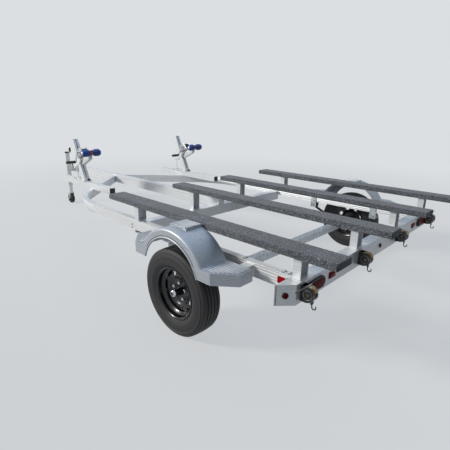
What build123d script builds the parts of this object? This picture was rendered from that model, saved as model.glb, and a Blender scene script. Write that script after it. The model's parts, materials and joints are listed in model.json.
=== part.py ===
from build123d import *
import os
from math import cos, radians, sin, sqrt, tan

os.makedirs("parts", exist_ok=True)

# A trailer for two personal watercraft, parked level on its jack. Millimetres.
# X is to the right, Y forward to the coupler, Z up from the ground.
# Distances along the trailer are counted from the axle and then moved by AXLE_Y,
# which puts the origin half way between the coupler's nose and the bunks' ends.

# Length and ground
NOSE = 4330
BUNK_REAR = -990
AXLE_Y = -(NOSE + BUNK_REAR) / 2
GAP = 0.3

# Wheels
TYRE_R = 296
TYRE_W = 166
TREAD_FLAT = 124
TREAD_T = 26
TYRE_WALL = 12
WIDEST_DROP = 6
SHOULDER_DROP = 18
SHOULDER_W = 10
CROWN_DROP = 4
WHEEL_X = 1196
RIM_SEAT_R = 165
RIM_FLANGE_R = 178
RIM_W = 144
RIM_WALL = 4
BEAD_GAP = 0.3
DISC_T = 5
DISC_DISH = 16
WINDOWS = 8
WINDOW_R = 121
WINDOW_LENGTH = 26
WINDOW_WIDTH = 42
WINDOW_SLANT = 72
WINDOW_ROUND = 5
HUB_FLANGE_R = 72
HUB_FLANGE_T = 10
HUB_R = 33
HUB_INNER = 62
CAP_R = 27
CAP_LENGTH = 74
CAP_FACE_R = 18
CAP_BEVEL = 9
LUG_CIRCLE_R = 57.15
LUGS = 5
LUG_R = 9
LUG_LENGTH = 20
STUD_R = 6
SPINDLE_R = 17
SPINDLE_GAP = 0.05

# Side rails: aluminium box section, bent once and run at 45 degrees to the centre beam
RAIL_X = 1010
RAIL_W = 46
RAIL_H = 90
RAIL_Z = 479
WALL = 4
BEND_R = 900
DIAGONAL = 2885

# Centre beam
BEAM_W = 76
BEAM_H = 100
BEAM_Z = 482
SEAM_BACK = 169
TONGUE_END = 4160

# Crossbeams
CROSS_INSET = 280
CROSS_D = 75
CROSS_Z = 425
CROSS_H = 95
REAR_D = 78
REAR_OVERHANG = 207
REAR_Z = 450
REAR_HALF = 1160
REAR_CUT = 85

# Bunks, carpeted boards lying flat
BUNK_W = 150
BUNK_T = 44
BUNK_TOP = 742
BUNK_LENGTH = 2080
BUNK_ROUND = 10
OUTER_BUNK = 995
INNER_BUNK = 327
BRACKET_T = 6
BRACKET_W = 75
BRACKET_D = 50
OUTER_BACK = 58

# Winch stands
CRAFT_X = (OUTER_BUNK + INNER_BUNK) / 2
STAND_TUBE = 64
STAND_LENGTH = 1100
STAND_REAR = 1560
STAND_STAGGER = 200
PLATE_T = 6
PLATE_W = 92
PLATE_LENGTH = 292
PLATE_START = 528
POST = 60
POST_WALL = 4
POST_FOOT = 575
POST_LENGTH = 484
POST_BELOW = 60
LEAN = 25
ARM_HEIGHT = 197
ARM_FRONT = 137
ARM_REACH = 300
ARM_W = 24
ARM_H = 46
CHEEK_T = 5
CHEEK_H = 50
CHEEK_BACK = 62
BRACE_R = 7
STOP_R = 9
ROLLER_R = 39
ROLLER_END_R = 30
ROLLER_W = 84
ROLLER_TAPER = 21
SPOOL_R = 17
SPOOL_W = 6
WINCH_ALONG = 128
WINCH_ABOVE = 74
WINCH_PLATE = 112
WINCH_W = 76
WINCH_T = 4
STRAP_R = 40
WINCH_SHAFT_R = 9
WINCH_SHAFT = 34
CRANK_LENGTH = 125
CRANK_W = 24
CRANK_T = 7
CRANK_ANGLE = 62
GRIP_R = 14
GRIP_LENGTH = 104

# Axle and springs
AXLE_SIZE = 62
AXLE_GAP = 6
SPRING_HALF = 330
SPRING_W = 44
LEAF_T = 7
LEAVES = 3
LEAF_STEP = 90
EYE_R = 14
EYE_PIN_R = 7
EYE_Z = 440
HANGER_T = 6
HANGER_W = 64
HANGER_DROP = 20
HANGER_LAP = 52
AXLE_PLATE_T = 8
U_BOLT_R = 6
U_BOLT_GAP = 1

# Fenders
FENDER_CLEAR = 13
FENDER_BACK = 5
FENDER_MID = 5
FENDER_AXIS_Z = 405
FENDER_R = 323
FENDER_ROUND = 15
OPENING_R = 267
FENDER_T = 3
FENDER_LOW = 487
STEP_TOP = 560
STEP_END = 495
STEP_CUT_X = 107
STEP_CUT_Y = 130
PAD_RISE = 8
PAD_HALF = 76
PAD_EDGE = 84
LIP_R = 6
STRAP_W = 60
STRAP_REACH = 140
STRAP_INSET = 15

# Lamps and reflectors
LAMP_X = 885
LAMP_W = 165
LAMP_H = 57
LAMP_RIM = 8
LAMP_RIM_T = 10
LAMP_LENS_T = 20
LAMP_Z = 508
MARKER_R = 19
MARKER_T = 12
MIDDLE_MARKER_R = 13
REFLECTOR_X = 700
REFLECTOR_W = 76
REFLECTOR_H = 42
REFLECTOR_T = 5
SIDE_REFLECTOR = -655

# Tie-downs
TIE_OUTER = 1015
TIE_INNER = 330
REEL_R = 42
REEL_W = 50
REEL_Z = 512
HOOK_R = 5
HOOK_BEND_R = 15
HOOK_DROP = 34

# Coupler
BALL_R = 25.4
BALL_CLEARANCE = 0.3
SOCKET_T = 8
SOCKET_DROP = 22
SOCKET_RISE = 33
LATCH_R = 5.6
LATCH_LENGTH = 135
LATCH_RISE = 19
COUPLER_H = 64
COUPLER_LAP = 90

# Jack
JACK_BACK = 200
JACK_SIDE = 115
JACK_Z = 532
JACK_TUBE_R = 28
JACK_TUBE_WALL = 4
JACK_TUBE_TOP = 250
JACK_TUBE_LOW = 250
JACK_LEG_R = 22
JACK_LEG_GAP = 0.05
JACK_HUB_R = 40
JACK_HUB_T = 14
JACK_PLATE_HALF = 64
JACK_PIN_R = 16
JACK_WHEEL_R = 76
JACK_WHEEL_W = 48
JACK_WHEEL_ROUND = 10
JACK_TRAIL = 24
FORK_T = 5
FORK_TOP = 12
FORK_W = 40
JACK_CRANK = 110


def ahead(distance):
    """Y of a place given by its distance ahead of the axle."""
    return AXLE_Y + distance


def block(x, y, z, mode=Mode.ADD):
    """A block given by its ranges along X, Y and Z."""
    with BuildSketch(Plane.XY.offset(z[0])) as face:
        with Locations(((x[0] + x[1]) / 2, (y[0] + y[1]) / 2)):
            Rectangle(x[1] - x[0], y[1] - y[0])
    extrude(face.sketch, amount=z[1] - z[0], mode=mode)


def rod(start, direction, radius, length, mode=Mode.ADD):
    """A round bar from a point along a direction."""
    with BuildSketch(Plane(start, z_dir=direction)) as face:
        Circle(radius)
    extrude(face.sketch, amount=length, mode=mode)


def bar(plane, width, height, length, wall=0, mode=Mode.ADD):
    """A rectangular bar along a plane's normal, hollow if it has a wall."""
    with BuildSketch(plane) as face:
        Rectangle(width, height)
        if wall:
            Rectangle(width - 2 * wall, height - 2 * wall, mode=Mode.SUBTRACT)
    extrude(face.sketch, amount=length, mode=mode)


def save(builder, name):
    """Label a finished piece and write it."""
    builder.part.label = name
    export_step(builder.part, f"parts/{name}.step")


def save_pair(builder, name):
    """Write a right-hand piece and its mirror image on the left."""
    with BuildPart() as left:
        mirror(builder.part, about=Plane.YZ)
    save(builder, f"{name}_right")
    save(left, f"{name}_left")


# Places that follow from the sizes
AXLE_Z = TYRE_R
CROSS_Y = BUNK_REAR + BUNK_LENGTH - CROSS_INSET
OUTER_FRONT = CROSS_Y - OUTER_BACK
SEAM = DIAGONAL - SEAM_BACK
JACK_Y = TONGUE_END - JACK_BACK
RAIL_TOP = RAIL_Z + RAIL_H
RAIL_IN = RAIL_X - RAIL_W
REAR_FRONT = BUNK_REAR + REAR_OVERHANG + REAR_D
BUNK_LOW = BUNK_TOP - BUNK_T
CROSS_TOP = CROSS_Z + CROSS_H
BEAM_TOP = BEAM_Z + BEAM_H
AXLE_HALF = WHEEL_X - HUB_FLANGE_T - HUB_INNER - AXLE_GAP
FENDER_OUT = WHEEL_X + TYRE_W / 2 + FENDER_CLEAR
FENDER_IN = OUTER_BUNK + BUNK_W / 2 + FENDER_BACK


def rail_plan(outset):
    """The rail's outline seen from above, drawn inward from its outer face by outset."""
    edge = RAIL_X - outset
    radius = BEND_R - outset
    centre_x = RAIL_X - BEND_R
    bend_start = DIAGONAL - RAIL_X - BEND_R * tan(radians(22.5))
    turned = (centre_x + radius * cos(radians(45)), ahead(bend_start + radius * sin(radians(45))))
    tip = BEAM_W / 2
    front = (tip, turned[1] + turned[0] - tip)
    middle = (centre_x + radius * cos(radians(22.5)), ahead(bend_start + radius * sin(radians(22.5))))
    return edge, ahead(bend_start), middle, turned, front


def rail_body(outset_out, outset_in, z, mode=Mode.ADD):
    """One bent bar between two outsets, over a range of heights."""
    out_edge, bend, out_mid, out_turn, out_front = rail_plan(outset_out)
    in_edge, bend, in_mid, in_turn, in_front = rail_plan(outset_in)
    rear = ahead(REAR_FRONT)
    with BuildSketch(Plane.XY.offset(z[0])) as plan:
        with BuildLine():
            Line((out_edge, rear), (out_edge, bend))
            ThreePointArc((out_edge, bend), out_mid, out_turn)
            Line(out_turn, out_front)
            Line(out_front, in_front)
            Line(in_front, in_turn)
            ThreePointArc(in_turn, in_mid, (in_edge, bend))
            Line((in_edge, bend), (in_edge, rear))
            Line((in_edge, rear), (out_edge, rear))
        make_face()
    extrude(plan.sketch, amount=z[1] - z[0], mode=mode)


# Side rails
with BuildPart() as rail:
    rail_body(0, RAIL_W, (RAIL_Z, RAIL_TOP))
    rail_body(WALL, RAIL_W - WALL, (RAIL_Z + WALL, RAIL_TOP - WALL), mode=Mode.SUBTRACT)
save_pair(rail, "rail")


def forward_plane(x, distance, z):
    """A plane that looks forward, with its X to the right."""
    return Plane((x, ahead(distance), z), x_dir=(1, 0, 0), z_dir=(0, 1, 0))


# Centre beam, in two lengths that meet at the seam; its closed rear end is notched over the crossbeam
with BuildPart() as spine:
    bar(forward_plane(0, CROSS_Y, BEAM_Z + BEAM_H / 2), BEAM_W, BEAM_H, SEAM - CROSS_Y, WALL)
    bar(forward_plane(0, CROSS_Y, BEAM_Z + BEAM_H / 2), BEAM_W, BEAM_H, WALL)
    block((-BEAM_W / 2, BEAM_W / 2), (ahead(CROSS_Y), ahead(CROSS_Y + CROSS_D)),
          (BEAM_Z, CROSS_TOP), mode=Mode.SUBTRACT)
save(spine, "spine")

with BuildPart() as tongue:
    bar(forward_plane(0, SEAM, BEAM_Z + BEAM_H / 2), BEAM_W, BEAM_H, TONGUE_END - SEAM, WALL)
save(tongue, "tongue")

# Front crossbeam, a closed box between the rails
with BuildPart() as front_crossbeam:
    side_plane = Plane((-RAIL_IN, ahead(CROSS_Y + CROSS_D / 2), CROSS_Z + CROSS_H / 2),
                       x_dir=(0, 1, 0), z_dir=(1, 0, 0))
    bar(side_plane, CROSS_D, CROSS_H, 2 * RAIL_IN, WALL)
save(front_crossbeam, "front_crossbeam")


def rear_outline(inset, z, mode=Mode.ADD):
    """The rear beam's plan, its rear corners cut off, over a range of heights."""
    front = ahead(REAR_FRONT) - inset
    rear = ahead(REAR_FRONT - REAR_D) + inset
    half = REAR_HALF - inset
    cut = half - REAR_CUT
    with BuildSketch(Plane.XY.offset(z[0])) as plan:
        with BuildLine():
            Polyline((-half, front), (half, front), (cut, rear), (-cut, rear), close=True)
        make_face()
    extrude(plan.sketch, amount=z[1] - z[0], mode=mode)


# Rear beam
with BuildPart() as rear_beam:
    rear_outline(0, (REAR_Z, RAIL_TOP))
    rear_outline(WALL, (REAR_Z + WALL, RAIL_TOP - WALL), mode=Mode.SUBTRACT)
save(rear_beam, "rear_beam")

# Bunks
for number, bunk_x in enumerate((-OUTER_BUNK, -INNER_BUNK, INNER_BUNK, OUTER_BUNK), start=1):
    with BuildPart() as bunk:
        bar(forward_plane(bunk_x, BUNK_REAR, BUNK_TOP - BUNK_T / 2), BUNK_W, BUNK_T, BUNK_LENGTH)
        fillet(bunk.edges().filter_by(Axis.Y), BUNK_ROUND)
    save(bunk, f"bunk_{number}")


def bunk_bracket(x, distance, foot_z):
    """A channel on end, open to the rear, with its foot on a beam and its top under a bunk."""
    front = ahead(distance) + BRACKET_D / 2
    block((x - BRACKET_W / 2, x + BRACKET_W / 2), (front - BRACKET_D, front), (foot_z, BUNK_LOW))
    block((x - BRACKET_W / 2 + BRACKET_T, x + BRACKET_W / 2 - BRACKET_T),
          (front - BRACKET_D, front - BRACKET_T),
          (foot_z + BRACKET_T, BUNK_LOW - BRACKET_T), mode=Mode.SUBTRACT)


# Bunk brackets: the front outer ones stand on the rails, the inner ones on the crossbeam
RAIL_MID = RAIL_X - RAIL_W / 2
REAR_MID = REAR_FRONT - REAR_D / 2
BRACKET_ROWS = {
    "front": ((RAIL_MID, OUTER_FRONT, RAIL_TOP), (INNER_BUNK, CROSS_Y + CROSS_D / 2, CROSS_TOP)),
    "rear": ((RAIL_MID, REAR_MID, RAIL_TOP), (INNER_BUNK, REAR_MID, RAIL_TOP)),
}
for row_name, places in BRACKET_ROWS.items():
    with BuildPart() as brackets:
        for bracket_x, distance, foot_z in places:
            for side in (-1, 1):
                bunk_bracket(side * bracket_x, distance, foot_z)
    save(brackets, f"bunk_brackets_{row_name}")

# Winch stands: the left one stands further forward
STANDS = (
    ("left", -CRAFT_X, STAND_REAR + STAND_STAGGER),
    ("right", CRAFT_X, STAND_REAR),
)
TUBE_TOP = RAIL_TOP + STAND_TUBE
POST_BASE_Z = TUBE_TOP + PLATE_T
UP_POST = (0, sin(radians(LEAN)), cos(radians(LEAN)))
ALONG_ARM = (0, -cos(radians(LEAN)), sin(radians(LEAN)))


def on_arm(x, start, along, above):
    """A point by its distances along and above the arm, from where it crosses the post."""
    y = ahead(start + POST_FOOT + ARM_HEIGHT * tan(radians(LEAN)))
    z = POST_BASE_Z + ARM_HEIGHT
    return (
        x,
        y + along * ALONG_ARM[1] + above * UP_POST[1],
        z + along * ALONG_ARM[2] + above * UP_POST[2],
    )


def arm_plane(x, start, along, above):
    """A plane that looks along the arm to its free end."""
    return Plane(on_arm(x, start, along, above), x_dir=(1, 0, 0), z_dir=ALONG_ARM)


for side_name, stand_x, stand_start in STANDS:
    with BuildPart() as winch_tube:
        tube_plane = forward_plane(stand_x, stand_start, RAIL_TOP + STAND_TUBE / 2)
        bar(tube_plane, STAND_TUBE, STAND_TUBE, STAND_LENGTH, WALL)
    save(winch_tube, f"winch_tube_{side_name}")

    with BuildPart() as winch_post:
        foot = (stand_x, ahead(stand_start + POST_FOOT), POST_BASE_Z)
        # Drawn from below its base and cut level there
        bar(Plane(foot, x_dir=(1, 0, 0), z_dir=UP_POST).offset(-POST_BELOW), POST, POST,
            POST_LENGTH + POST_BELOW, POST_WALL)
        split(bisect_by=Plane.XY.offset(POST_BASE_Z), keep=Keep.TOP)
        plate_y = (ahead(stand_start + PLATE_START), ahead(stand_start + PLATE_START + PLATE_LENGTH))
        block((stand_x - PLATE_W / 2, stand_x + PLATE_W / 2), plate_y, (TUBE_TOP, POST_BASE_Z))
        brace_end = on_arm(stand_x, stand_start, -ARM_FRONT + 2 * BRACE_R, 0)
        rod((brace_end[0], brace_end[1], POST_BASE_Z), (0, 0, 1), BRACE_R,
            brace_end[2] - POST_BASE_Z - BRACE_R)
    save(winch_post, f"winch_post_{side_name}")

with BuildPart() as bow_arms:
    for side_name, stand_x, stand_start in STANDS:
        for side in (-1, 1):
            cheek_x = stand_x + side * (POST + CHEEK_T) / 2
            bar(arm_plane(cheek_x, stand_start, -ARM_FRONT, 0), CHEEK_T, CHEEK_H,
                ARM_FRONT + CHEEK_BACK)
        bar(arm_plane(stand_x, stand_start, CHEEK_BACK - PLATE_T, 0), POST + 2 * CHEEK_T, CHEEK_H,
            PLATE_T)
        bar(arm_plane(stand_x, stand_start, CHEEK_BACK, 0), ARM_W, ARM_H,
            ARM_REACH - CHEEK_BACK + 2 * STOP_R)
        pin_start = on_arm(stand_x - POST / 2, stand_start, -ARM_FRONT + 2 * BRACE_R, 0)
        rod(pin_start, (1, 0, 0), BRACE_R, POST)
        hole_start = on_arm(stand_x - ARM_W, stand_start, ARM_REACH, 0)
        rod(hole_start, (1, 0, 0), STOP_R + SPINDLE_GAP, 2 * ARM_W, mode=Mode.SUBTRACT)
save(bow_arms, "bow_arms")


def roller(centre, side):
    """A bow roller that tapers to both ends, with its bore on the shaft."""
    inner = ARM_W / 2 + GAP + SPOOL_W
    outer = inner + ROLLER_W
    with BuildSketch(Plane(centre, x_dir=(side, 0, 0), z_dir=(0, 0, 1))) as profile:
        with BuildLine():
            Polyline((inner, STOP_R + SPINDLE_GAP), (inner, ROLLER_END_R), (inner + ROLLER_TAPER, ROLLER_R),
                     (outer - ROLLER_TAPER, ROLLER_R), (outer, ROLLER_END_R),
                     (outer, STOP_R + SPINDLE_GAP), close=True)
        make_face()
    revolve(profile.sketch, Axis(centre, (1, 0, 0)), 360)


with BuildPart() as bow_rollers:
    for side_name, stand_x, stand_start in STANDS:
        shaft_centre = on_arm(stand_x, stand_start, ARM_REACH, 0)
        reach = ARM_W / 2 + GAP + SPOOL_W + ROLLER_W + STOP_R
        rod((stand_x - reach, shaft_centre[1], shaft_centre[2]), (1, 0, 0), STOP_R, 2 * reach)
        for side in (-1, 1):
            roller(shaft_centre, side)
            spool_start = (stand_x + side * (ARM_W / 2 + GAP), shaft_centre[1], shaft_centre[2])
            rod(spool_start, (side, 0, 0), SPOOL_R, SPOOL_W)
            cap_start = (stand_x + side * (reach - STOP_R), shaft_centre[1], shaft_centre[2])
            rod(cap_start, (side, 0, 0), SPOOL_R, STOP_R)
save(bow_rollers, "bow_rollers")

# Winches stand on the arms, behind the posts
with BuildPart() as winches:
    for side_name, stand_x, stand_start in STANDS:
        base_z = ARM_H / 2
        base_plane = arm_plane(stand_x, stand_start, WINCH_ALONG - WINCH_PLATE / 2,
                               base_z + WINCH_T / 2)
        bar(base_plane, WINCH_W, WINCH_T, WINCH_PLATE)
        for side in (-1, 1):
            wall_x = stand_x + side * (WINCH_W + WINCH_T) / 2
            wall_h = WINCH_ABOVE + STRAP_R + 2 * WINCH_T - base_z
            wall_plane = arm_plane(wall_x, stand_start, WINCH_ALONG - WINCH_PLATE / 2,
                                   base_z + wall_h / 2)
            bar(wall_plane, WINCH_T, wall_h, WINCH_PLATE)
        drum_start = on_arm(stand_x - WINCH_W / 2, stand_start, WINCH_ALONG, WINCH_ABOVE)
        rod(drum_start, (1, 0, 0), STRAP_R, WINCH_W)
        shaft_start = on_arm(stand_x - WINCH_W / 2 - WINCH_T, stand_start, WINCH_ALONG, WINCH_ABOVE)
        rod(shaft_start, (-1, 0, 0), WINCH_SHAFT_R, WINCH_SHAFT)
save(winches, "winches")

for side_name, stand_x, stand_start in STANDS:
    with BuildPart() as crank:
        centre = on_arm(stand_x - WINCH_W / 2 - WINCH_T - WINCH_SHAFT + CRANK_T,
                        stand_start, WINCH_ALONG, WINCH_ABOVE)
        turn = radians(CRANK_ANGLE)
        arm_dir = (0, cos(turn), -sin(turn))
        with BuildSketch(Plane(centre, x_dir=arm_dir, z_dir=(-1, 0, 0))) as crank_face:
            with Locations((CRANK_LENGTH / 2, 0)):
                SlotCenterToCenter(CRANK_LENGTH, CRANK_W)
            Circle(WINCH_SHAFT_R + SPINDLE_GAP, mode=Mode.SUBTRACT)
        extrude(crank_face.sketch, amount=CRANK_T)
        grip_start = (centre[0] - CRANK_T, centre[1] + CRANK_LENGTH * arm_dir[1],
                      centre[2] + CRANK_LENGTH * arm_dir[2])
        rod(grip_start, (-1, 0, 0), GRIP_R, GRIP_LENGTH)
    save(crank, f"winch_crank_{side_name}")

# Axle: a square tube with a stub at each end
with BuildPart() as axle:
    axle_plane = Plane((-AXLE_HALF, AXLE_Y, AXLE_Z), x_dir=(0, 1, 0), z_dir=(1, 0, 0))
    bar(axle_plane, AXLE_SIZE, AXLE_SIZE, 2 * AXLE_HALF, WALL)
    for side in (-1, 1):
        block(sorted((side * (AXLE_HALF - WALL), side * AXLE_HALF)),
              (AXLE_Y - AXLE_SIZE / 2, AXLE_Y + AXLE_SIZE / 2),
              (AXLE_Z - AXLE_SIZE / 2, AXLE_Z + AXLE_SIZE / 2))
        rod((side * AXLE_HALF, AXLE_Y, AXLE_Z), (side, 0, 0), SPINDLE_R,
            WHEEL_X + HUB_FLANGE_T - AXLE_HALF)
save(axle, "axle")

# Leaf springs on top of the axle, their eyes pinned in the hangers
SPRING_LOW = AXLE_Z + AXLE_SIZE / 2


def leaf(x, half, top_z, radius):
    """One leaf: a band of an arc whose lowest point is above the axle."""
    low_mid = (0, top_z - LEAF_T)
    low_end = sqrt(radius ** 2 - half ** 2)
    rise = radius - low_end
    with BuildSketch(Plane((x - SPRING_W / 2, AXLE_Y, 0), x_dir=(0, 1, 0), z_dir=(1, 0, 0))) as band:
        with BuildLine():
            ThreePointArc((-half, top_z + rise), (0, top_z), (half, top_z + rise))
            Line((half, top_z + rise), (half, top_z + rise - LEAF_T))
            ThreePointArc((half, top_z + rise - LEAF_T), low_mid, (-half, top_z + rise - LEAF_T))
            Line((-half, top_z + rise - LEAF_T), (-half, top_z + rise))
        make_face()
    extrude(band.sketch, amount=SPRING_W)


with BuildPart() as leaf_springs:
    main_top = SPRING_LOW + LEAVES * LEAF_T
    sag = EYE_Z - EYE_R + LEAF_T - main_top
    leaf_radius = (SPRING_HALF ** 2 + sag ** 2) / (2 * sag)
    for side in (-1, 1):
        spring_x = side * RAIL_MID
        for count in range(LEAVES):
            leaf(spring_x, SPRING_HALF - count * LEAF_STEP, main_top - count * LEAF_T, leaf_radius)
        for eye in (-SPRING_HALF, SPRING_HALF):
            eye_start = (spring_x - SPRING_W / 2, AXLE_Y + eye, EYE_Z)
            rod(eye_start, (1, 0, 0), EYE_R, SPRING_W)
            rod(eye_start, (1, 0, 0), EYE_PIN_R + SPINDLE_GAP, SPRING_W, mode=Mode.SUBTRACT)
save(leaf_springs, "leaf_springs")

# Spring hangers: cheeks beside each eye, a cap under the rail and a pin
with BuildPart() as spring_hangers:
    for side in (-1, 1):
        for eye in (-SPRING_HALF, SPRING_HALF):
            hanger_y = (AXLE_Y + eye - HANGER_W / 2, AXLE_Y + eye + HANGER_W / 2)
            low = EYE_Z - HANGER_DROP
            inner = RAIL_IN
            outer = RAIL_X
            block(sorted((side * (inner - HANGER_T), side * inner)), hanger_y, (low, RAIL_Z + HANGER_LAP))
            block(sorted((side * outer, side * (outer + HANGER_T))), hanger_y, (low, RAIL_Z))
            block(sorted((side * inner, side * (outer + HANGER_T))), hanger_y,
                  (RAIL_Z - HANGER_T, RAIL_Z))
            rod((side * (inner - HANGER_T), AXLE_Y + eye, EYE_Z), (side, 0, 0), EYE_PIN_R,
                RAIL_W + 2 * HANGER_T)
save(spring_hangers, "spring_hangers")

# Wheels: made on the right, then mirrored


def wheel_plane(offset):
    """A plane across the wheel's axis, looking outward, at an offset from the wheel's middle."""
    return Plane((WHEEL_X + offset, AXLE_Y, AXLE_Z), x_dir=(0, 1, 0), z_dir=(1, 0, 0))


def wheel_revolve(points_sketch, mode=Mode.ADD):
    """Turn a profile drawn in the wheel's own plane about its axis."""
    revolve(points_sketch, Axis((WHEEL_X, AXLE_Y, AXLE_Z), (1, 0, 0)), 360, mode=mode)


PROFILE = Plane((WHEEL_X, AXLE_Y, AXLE_Z), x_dir=(1, 0, 0), z_dir=(0, -1, 0))
CAP_END = DISC_T + CAP_LENGTH

with BuildPart() as hub:
    with BuildSketch(PROFILE) as hub_profile:
        with BuildLine():
            Polyline(
                (-HUB_FLANGE_T - HUB_INNER, SPINDLE_R + SPINDLE_GAP),
                (-HUB_FLANGE_T - HUB_INNER, HUB_R),
                (-HUB_FLANGE_T, HUB_R),
                (-HUB_FLANGE_T, HUB_FLANGE_R),
                (-GAP, HUB_FLANGE_R),
                (-GAP, CAP_R),
                (CAP_END - CAP_BEVEL, CAP_R),
                (CAP_END, CAP_FACE_R),
                (CAP_END, 0),
                (2 * HUB_FLANGE_T, 0),
                (2 * HUB_FLANGE_T, SPINDLE_R + SPINDLE_GAP),
                close=True,
            )
        make_face()
    wheel_revolve(hub_profile.sketch)
    with BuildSketch(wheel_plane(-GAP)) as studs:
        with PolarLocations(LUG_CIRCLE_R, LUGS, start_angle=90):
            Circle(STUD_R)
    extrude(studs.sketch, amount=DISC_T + GAP)
    with BuildSketch(wheel_plane(DISC_T)) as nuts:
        with PolarLocations(LUG_CIRCLE_R, LUGS, start_angle=90):
            RegularPolygon(LUG_R, 6)
    extrude(nuts.sketch, amount=LUG_LENGTH)
save_pair(hub, "hub")

SEAT_HALF = RIM_W / 2
FLANGE_T = 5
DROP_HALF = 25
DROP_SLOPE = 15
DROP_DEPTH = 23
DROP_R = RIM_SEAT_R - DROP_DEPTH

with BuildPart() as rim:
    seat_in = RIM_SEAT_R - RIM_WALL
    drop_in = DROP_R - RIM_WALL
    with BuildSketch(PROFILE) as barrel:
        with BuildLine():
            Polyline(
                (-SEAT_HALF, RIM_FLANGE_R),
                (-SEAT_HALF + FLANGE_T, RIM_FLANGE_R),
                (-SEAT_HALF + FLANGE_T, RIM_SEAT_R),
                (-DROP_HALF - DROP_SLOPE, RIM_SEAT_R),
                (-DROP_HALF, DROP_R),
                (DROP_HALF, DROP_R),
                (DROP_HALF + DROP_SLOPE, RIM_SEAT_R),
                (SEAT_HALF - FLANGE_T, RIM_SEAT_R),
                (SEAT_HALF - FLANGE_T, RIM_FLANGE_R),
                (SEAT_HALF, RIM_FLANGE_R),
                (SEAT_HALF, seat_in),
                (DROP_HALF + DROP_SLOPE, seat_in),
                (DROP_HALF, drop_in),
                (-DROP_HALF, drop_in),
                (-DROP_HALF - DROP_SLOPE, seat_in),
                (-SEAT_HALF, seat_in),
                close=True,
            )
        make_face()
    wheel_revolve(barrel.sketch)
    flat_r = HUB_FLANGE_R + 8
    rise_r = flat_r + 2 * DISC_DISH
    with BuildSketch(PROFILE) as disc:
        with BuildLine():
            Polyline(
                (0, HUB_R + 1),
                (DISC_T, HUB_R + 1),
                (DISC_T, flat_r),
                (DISC_DISH + DISC_T, rise_r),
                (DISC_DISH + DISC_T, drop_in + RIM_WALL / 2),
                (DISC_DISH, drop_in + RIM_WALL / 2),
                (DISC_DISH, rise_r),
                (0, flat_r),
                close=True,
            )
        make_face()
    wheel_revolve(disc.sketch)
    with BuildSketch(wheel_plane(-DISC_T)) as windows:
        with PolarLocations(WINDOW_R, WINDOWS, start_angle=90):
            with Locations(Rotation(0, 0, -90)):
                Trapezoid(WINDOW_WIDTH, WINDOW_LENGTH, WINDOW_SLANT, rotation=180)
        fillet(windows.vertices(), WINDOW_ROUND)
    extrude(windows.sketch, amount=DISC_DISH + 4 * DISC_T, mode=Mode.SUBTRACT)
    with BuildSketch(wheel_plane(-DISC_T)) as stud_holes:
        with PolarLocations(LUG_CIRCLE_R, LUGS, start_angle=90):
            Circle(STUD_R + GAP)
    extrude(stud_holes.sketch, amount=3 * DISC_T, mode=Mode.SUBTRACT)
save_pair(rim, "rim")

with BuildPart() as tyre:
    seat = RIM_SEAT_R + BEAD_GAP
    bead = SEAT_HALF - FLANGE_T - BEAD_GAP
    over = RIM_FLANGE_R + BEAD_GAP
    widest_r = (RIM_FLANGE_R + TYRE_R) / 2 - WIDEST_DROP
    tread_half = TREAD_FLAT / 2
    edge_r = TYRE_R - CROWN_DROP
    shoulder = tread_half + SHOULDER_W
    shoulder_r = TYRE_R - SHOULDER_DROP
    with BuildSketch(PROFILE) as carcass:
        with BuildLine():
            Line((-bead, seat), (-bead, over))
            ThreePointArc((-bead, over), (-TYRE_W / 2, widest_r), (-shoulder, shoulder_r))
            Line((-shoulder, shoulder_r), (-tread_half, edge_r))
            ThreePointArc((-tread_half, edge_r), (0, TYRE_R), (tread_half, edge_r))
            Line((tread_half, edge_r), (shoulder, shoulder_r))
            ThreePointArc((shoulder, shoulder_r), (TYRE_W / 2, widest_r), (bead, over))
            Line((bead, over), (bead, seat))
            Polyline(
                (bead, seat),
                (bead - TYRE_WALL, seat),
                (bead - TYRE_WALL, over),
                (TYRE_W / 2 - TYRE_WALL, widest_r),
                (tread_half, TYRE_R - TREAD_T),
                (-tread_half, TYRE_R - TREAD_T),
                (-TYRE_W / 2 + TYRE_WALL, widest_r),
                (-bead + TYRE_WALL, over),
                (-bead + TYRE_WALL, seat),
                (-bead, seat),
            )
        make_face()
    wheel_revolve(carcass.sketch)
save_pair(tyre, "tyre")

# Fenders: an arch of sheet with a step ahead of and behind the wheel


def fender_side(x):
    """The plane of the fender's side view, at a distance from the trailer's middle."""
    return Plane((x, ahead(FENDER_MID), 0), x_dir=(0, 1, 0), z_dir=(1, 0, 0))


def fender_form(inset, mode=Mode.ADD):
    """The arch and its steps as one closed form, drawn inward from its skin by inset."""
    skin = LIP_X + FENDER_T / 2 - inset
    crown = FENDER_R - inset
    rounding = FENDER_ROUND - inset
    end = STEP_END - inset
    mid_y = ahead(FENDER_MID)
    arch_plane = Plane((0, mid_y, FENDER_AXIS_Z), x_dir=(1, 0, 0), z_dir=(0, -1, 0))
    with BuildPart(mode=Mode.PRIVATE) as form:
        with BuildSketch(arch_plane) as arch:
            with BuildLine():
                Polyline((skin, crown - rounding), (skin, 0), (FENDER_IN, 0), (FENDER_IN, crown),
                         (skin - rounding, crown))
                RadiusArc((skin - rounding, crown), (skin, crown - rounding), rounding)
            make_face()
        revolve(arch.sketch, Axis((0, mid_y, FENDER_AXIS_Z), (1, 0, 0)), 360)
        split(bisect_by=Plane.XY.offset(FENDER_LOW), keep=Keep.TOP)
        with BuildSketch(Plane.XY.offset(FENDER_LOW)) as plan:
            with BuildLine():
                Polyline(
                    (FENDER_IN, mid_y - end),
                    (skin - STEP_CUT_X, mid_y - end),
                    (skin, mid_y - end + STEP_CUT_Y),
                    (skin, mid_y + end - STEP_CUT_Y),
                    (skin - STEP_CUT_X, mid_y + end),
                    (FENDER_IN, mid_y + end),
                    close=True,
                )
            make_face()
        extrude(plan.sketch, amount=STEP_TOP - inset - FENDER_LOW)
    add(form.part, mode=mode)


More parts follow.
